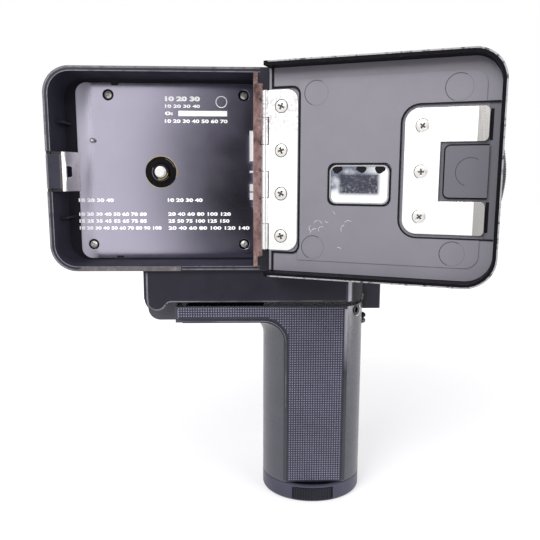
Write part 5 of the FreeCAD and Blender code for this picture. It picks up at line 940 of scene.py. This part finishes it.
def add_ejector_marks():
    # Each ejector mark's rim is a dark arc of painted shade on one side and a faint light arc of painted
    # highlight on the other.
    marks, faint = Form(DOOR), Form(DOOR)
    block = LINER_FACE + 0.5
    for u, z, radius, face in ((24, 201.4, 5.3, LINER_FACE), (83.8, 201.1, 5.5, LINER_FACE),
                               (23.2, 133.6, 5.2, LINER_FACE), (83.9, 133.4, 5.1, LINER_FACE),
                               (89.6, 167.3, 5.8, block)):
        marks.line(arc(u, z, radius, 60, 250, 30), 0.34, face, face + 0.02)
        faint.line(arc(u, z, radius, 250, 420, 30), 0.16, face, face + 0.02)
    marks.piece("liner_marks", "door", "liner_grey", "mark_grey")
    faint.piece("liner_marks_faint", "door", "liner_grey", "mark_light")


def window_edge(inset, corner):
    return rounded((29.7 + inset, 152.6 + inset), (57.7 - inset, 171.2 - inset), corner)


def add_door_window():
    outline = Form(DOOR)
    outline.line(window_edge(0.45, 3.4), 0.75, -0.2, 0.62, closed=True)
    for u, wide, deep in ((34.0, 2.3, 1.9), (44.6, 2.3, 1.6), (52.8, 2.3, 1.9)):
        blot = [(u + wide * math.cos(turn), 168.7 + deep * math.sin(turn) + 0.3 * math.cos(3 * turn + u))
                for turn in (math.tau * step / 20 for step in range(20))]
        outline.slab(blot, -0.3, -0.02)
    outline.piece("window_outline", "door", "door_black", "line_black")
    rim = Form(DOOR)
    rim.line(window_edge(1.2, 2.9), 0.6, -0.6, 0.35, closed=True)
    rim.piece("window_rim", "door", "window_clear", "plate_bent")
    pane = Form(DOOR)
    pane.slab(window_edge(0.2, 3), -2.5, -0.1, 0.2)
    pane.piece("window_pane", "door", "window_clear", replaces=("door_window",))


def add_finger_pull():
    """A ribbed pull whose outer face bows out at its middle."""
    low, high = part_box("finger_pull")
    form = Form(DOOR)
    z0, z1 = low.z / MM, high.z / MM
    count = 20
    step = (z1 - z0) / count
    outline = ((-0.6, 0.9), (0, 1.4), (0.15, 2.9), (0, 4.4), (-0.6, 5.1))
    loops = []
    for index in range(count):
        for share, back in ((0.0, 0.22), (0.25, 0.0), (0.7, 0.0), (0.95, 0.22)):
            z = z0 + step * (index + share)
            bow = 1.05 * math.sin(math.pi * (z - z0) / (z1 - z0)) - back
            loops.append([(101.5 if u < 0 else 102.1 + bow + u, z, w) for u, w in outline])
    form.skin(loops)
    form.piece("pull_ribs", "door", "pull_chrome", replaces=("finger_pull",))


# Grip
PITCH = 1.22
SIDES = ("near", NEAR, 1), ("far", FAR, -1)


def dot_spots():
    """Places of the raised dots on one grip panel: the upright, the arm and the curve between them."""
    spots = []
    for row in range(75):
        z = 10.7 + PITCH * row
        for column in range(22):
            spots.append((-12.8 + PITCH * column, z))
        for column in range(1, 46):
            x = -12.8 - PITCH * column
            in_arm = z > 96.3
            in_curve = x > -26 and 83.5 < z <= 96.3 and math.hypot(x + 26, z - 83.5) > 12.9
            if in_arm or in_curve:
                spots.append((x, z))
    return spots


def square(u, v, half):
    return [(u + half, v + half), (u - half, v + half), (u - half, v - half), (u + half, v - half)]


def add_grip_dots():
    # Each dot is lit by a painted highlight in its own lighter finish.
    for side, place, mirror in SIDES:
        form = Form(place)
        for x, z in dot_spots():
            form.skin([[(u, v, 18.38) for u, v in square(mirror * x, z, 0.36)],
                       [(u, v, 18.62) for u, v in square(mirror * x, z, 0.2)]])
        form.piece(f"grip_dots_{side}", "grip", "panel_black", "dot_highlight_grey")


def add_grip_ridges():
    """Rounded ridges along both sides of each grip panel."""
    for side, place, mirror in SIDES:
        form = Form(place)
        left = [(-14.9, 10.2), (-14.9, 50), (-14.9, 83.5)] + arc(-26, 83.5, 11.1, 0, 90) + [(-66, 94.6)]
        right = [(15.0, 10.2), (15.0, 50), (15.0, 100.6)]
        for path in (left, right):
            path = [(mirror * u, v) for u, v in path]
            for width, low, high in ((1.7, 17.6, 18.2), (1.2, 17.8, 18.45), (0.6, 18.0, 18.6)):
                form.line(path, width, low, high)
        form.piece(f"grip_ridges_{side}", "grip", "grip_black", "ridge_black")
        # Thin light lines along the panel's rear edge and the arm's end: painted highlights.
        edge = Form(place)
        edge.line([(mirror * u, v) for u, v in left[1:]], 0.3, 18.55, 18.62)
        edge.line([(mirror * -68.1, 95.9), (mirror * -68.1, 100.7)], 0.5, 18.38, 18.44)
        edge.piece(f"grip_edge_highlights_{side}", "grip", "grip_black", "keel_edge_highlight")


def add_cap_gaps():
    # Dark strips beside the thumb tab: painted shadow in its gaps.
    form = Form(NEAR)
    for u in (-10.9, 9.3):
        form.slab([(u - 0.35, 1.6), (u + 0.35, 1.6), (u + 0.35, 7.6), (u - 0.35, 7.6)], 20.4, 20.62)
    form.piece("cap_gaps", "cap", "cap_black", "line_black")


def add_buttons():
    """The trigger and the run button, rounded all along."""
    for node, body, finish, low, high in (("trigger_button", "trigger", "trigger_black", 92.4, 94.6),
                                          ("run_button", "run", "run_grey", 89.5, 91.7)):
        form = Form(PLAIN)
        loops = []
        for z, inset in ((low, 0.6), (low + 0.5, 0.02), (high - 0.5, 0.02), (high, 0.6)):
            edge = rounded((18.8, inset - 4), (28 - inset, 4 - inset), 3.3)
            loops.append([(x, y, z) for x, y in edge])
        form.skin(loops)
        form.piece(f"{node}_cap", body, finish, replaces=(node,))


def add_socket_ring():
    out = Vector((math.cos(math.radians(40)), -math.sin(math.radians(40)), 0))
    side = Vector((0, 0, 1)).cross(out)
    form = Form(axes(side, (0, 0, 1), out, (20.69, -14.06, 99.2)))
    # The bright rim is only the arc that catches the light: a painted highlight, with the rest of the
    # mouth left dark.
    form.line(arc(0, 0, 2.75, -110, 50, 16), 0.35, -0.1, 0.45)
    form.piece("socket_rim", "grip", "socket_black", "socket_bright")


# Lens, finder, dials and the left cover
FORWARD = (0, 1, 0), (0, 0, 1), (1, 0, 0)
LENS_Y, LENS_Z = -8, 167.5
LENS = axes(*FORWARD, (0, LENS_Y, LENS_Z))
FINDER = axes(*FORWARD, (0, 16.5, 199.6))
DIAL_Z = 150


def around_lens(x, turn, radius):
    """Axes on the skin of the lens, with v forward and w out."""
    angle = math.radians(turn)
    out = Vector((0, math.cos(angle), math.sin(angle)))
    ahead = Vector((1, 0, 0))
    middle = Vector((x, LENS_Y, LENS_Z)) + out * radius
    return axes(ahead.cross(out), ahead, out, middle)


def add_ring_figures():
    for body, x, radius, texts, start, step in (("zoom", 42.6, 24.43, "8 10 15 20 30 40", 60, 20),
                                                ("focus", 56.6, 23.83, "1 2 3 4 6 10 15", 30, 25)):
        form = Form(NEAR)
        for index, text in enumerate(texts.split()):
            form.place = around_lens(x, start + step * index, radius)
            form.number(text, 1.9, 0, 0, 0.02, centred=True)
        form.piece(f"{body}_figures", body, "lens_ring", "print_white")
    mark = Form(around_lens(38.6, 90, 20.03))
    mark.slab([(-0.4, -1.6), (0.4, -1.6), (0.4, 1.4), (-0.4, 1.4)], -0.02, 0.03)
    mark.piece("lens_index", "camera", "lens_black", "print_white")


def add_ring_ribs():
    for body, low, high, radius in (("zoom", 45.5, 52.3, 24.9), ("focus", 59.5, 69.8, 24.3)):
        form = Form(LENS)
        inner = radius - 0.9
        form.lathe([(inner, low), (radius, low + 0.4), (radius, high - 0.4), (inner, high)], steps=240,
                   closed=True, teeth=0.35)
        form.piece(f"{body}_ribs", body, "lens_ring", "eyecup_rubber")
    thread = Form(LENS)
    for index in range(6):
        x = 76.4 + 0.75 * index
        thread.lathe([(21.3, x), (20.9, x + 0.3), (21.3, x + 0.6)], steps=72, closed=True)
    thread.piece("filter_thread_lines", "camera", "lens_black")


def add_dials():
    for body, u, radius, texts, start, step in (("speed", 67.7, 13, "1 12 18 24 54", 150, -30),
                                                ("exposure", 35.7, 10.5, "1 2 4 8 16", 160, -35)):
        knurl = Form(FAR)
        steps = int(radius * 16) // 4 * 4
        edge = radius - 0.5
        profile = [(edge, 29.3), (radius, 29.6), (radius, 32.9), (edge, 33.2)]
        knurl.lathe(profile, u, DIAL_Z, steps, teeth=0.3)
        knurl.piece(f"{body}_knurl", body, "dial_black")
        form = Form(FAR)
        reach = radius - 3
        for index, text in enumerate(texts.split()):
            angle = math.radians(start + step * index)
            spot = u + reach * math.cos(angle), DIAL_Z + reach * math.sin(angle)
            form.number(text, 1.9, *spot, DIAL_FACE + 0.005, centred=True)
        low = DIAL_Z - radius + 2
        form.line([(u, low), (u, low + 2.5)], 0.5, DIAL_FACE - 0.03, DIAL_FACE + 0.005)
        form.piece(f"{body}_figures", body, "dial_black", "print_white")


def add_finder_trim():
    form = Form(FINDER)
    profile = [(8.0, -133.6), (8.5, -133.4), (8.5, -131.0), (8.0, -130.8)]
    form.lathe(profile, steps=144, closed=True, teeth=0.3)
    form.piece("dioptre_knurl", "dioptre", "ring_black")


def add_cover_trim():
    panel = Form(FAR)
    panel.slab(rounded((28.5, 172), (118, 205), 2), 28.4, 28.75, 0.1)
    panel.piece("cover_leather", "camera", "cover_black", "leather_black")
    ring = Form(FAR)
    for u, radius in ((67.7, 14.6), (35.7, 12.1)):
        ring.line(circle(u, DIAL_Z, radius, 64), 0.4, 28.4, 28.62, closed=True)
    ring.line([(28.5, 168.5), (118, 168.5)], 0.5, 28.4, 28.58)
    ring.piece("cover_lines", "camera", "cover_black", "lever_chrome")


# Floor, backdrop and light
def add_stage():
    data = bpy.data.meshes.new("ground")
    half, front = 3.0, -0.16
    corners = (-half, front, 0), (half, front, 0), (half, half, 0), (-half, half, 0)
    data.from_pydata(corners, [], [(0, 1, 2, 3)])
    ground = put_in("ground", data)
    made = Finish("ground", (0.6, 0.6, 0.62), 0.9, Specular_IOR_Level=0.0)
    made.put("Emission Color", (1, 1, 1))
    reach = made.vector("LENGTH", made.place, (0, 0, 0))["Value"]
    level = made.spread(reach, 0.08, 0.5, 0.47, 0.75)
    made.put("Emission Strength", made.times(made.seen_directly(True), level))
    data.materials.append(made.material)


def add_world():
    """White studio with one dark opening in front of the object, which polished metal mirrors."""
    world = bpy.data.worlds.new("studio")
    bpy.context.scene.world = world
    world.use_nodes = True
    world.cycles.sampling_method = "NONE"
    studio = Nodes(world.node_tree)
    background = world.node_tree.nodes["Background"].inputs
    background["Color"].default_value = (1, 1, 1, 1)
    lit = studio.spread(studio.seen_directly(False), 0, 1, 0.55, 1.0)
    bearing, drop = math.radians(8.9), 0.005
    middle = (math.sin(bearing), -math.cos(bearing), -drop)
    place = studio.node("ShaderNodeTexCoord")["Generated"]
    wide, narrow = (math.cos(math.radians(angle)) for angle in (19.5, 11.5))
    facing = studio.spread(studio.vector("DOT_PRODUCT", place, middle)["Value"], wide, narrow, 1.0, 0.0)
    opening = studio.times(facing, 1.4, "POWER")
    glossy = studio.node("ShaderNodeLightPath")["Is Glossy Ray"]
    studio.fill(background["Strength"], studio.mix("FLOAT", glossy, lit, opening))


def add_lamp(name, place, target, size, watts):
    data = bpy.data.lights.new(name, "AREA")
    settle(data, shape="RECTANGLE", size=size[0], size_y=size[1], energy=watts)
    aim = (Vector(target) - Vector(place)).to_track_quat("-Z", "Y").to_euler()
    settle(put_in(name, data), location=place, rotation_euler=aim)


add_camera()
for make in (body_finishes, body_edge_finishes, keel_finishes, screw_finishes, print_finish,
             grip_finishes, small_metal_finishes, floor_finish, chamber_finishes, foam_finish,
             spring_finish, door_finishes, liner_finish, door_metal_finishes, window_finish,
             lens_finishes, dress_nodes, add_floor_screws, add_door_screws, add_cover_screws,
             add_screw_shadows_and_dirt, add_floor_recesses, add_chamber_print, add_foam, add_spindle_trim,
             add_catch_lips, add_body_rim_highlights_and_wear, add_keel_lines, add_door_rim_highlights_and_wear, add_door_lines,
             add_ejector_marks, add_door_window, add_scratches, add_finger_pull, add_grip_dots,
             add_grip_ridges, add_cap_gaps, add_buttons, add_socket_ring, add_ring_figures,
             add_ring_ribs, add_dials, add_finder_trim, add_cover_trim, add_stage, add_world):
    make()
add_lamp("key", (-0.55, -0.75, 0.75), (0, 0, 0.14), (0.6, 0.6), 9)
add_lamp("fill", (0.6, -0.6, 0.5), (0, 0, 0.14), (0.5, 0.5), 3)
add_lamp("strip", (0.512, -0.083, 0.07), (0.016, -0.017, 0.1), (0.045, 0.14), 0.5)
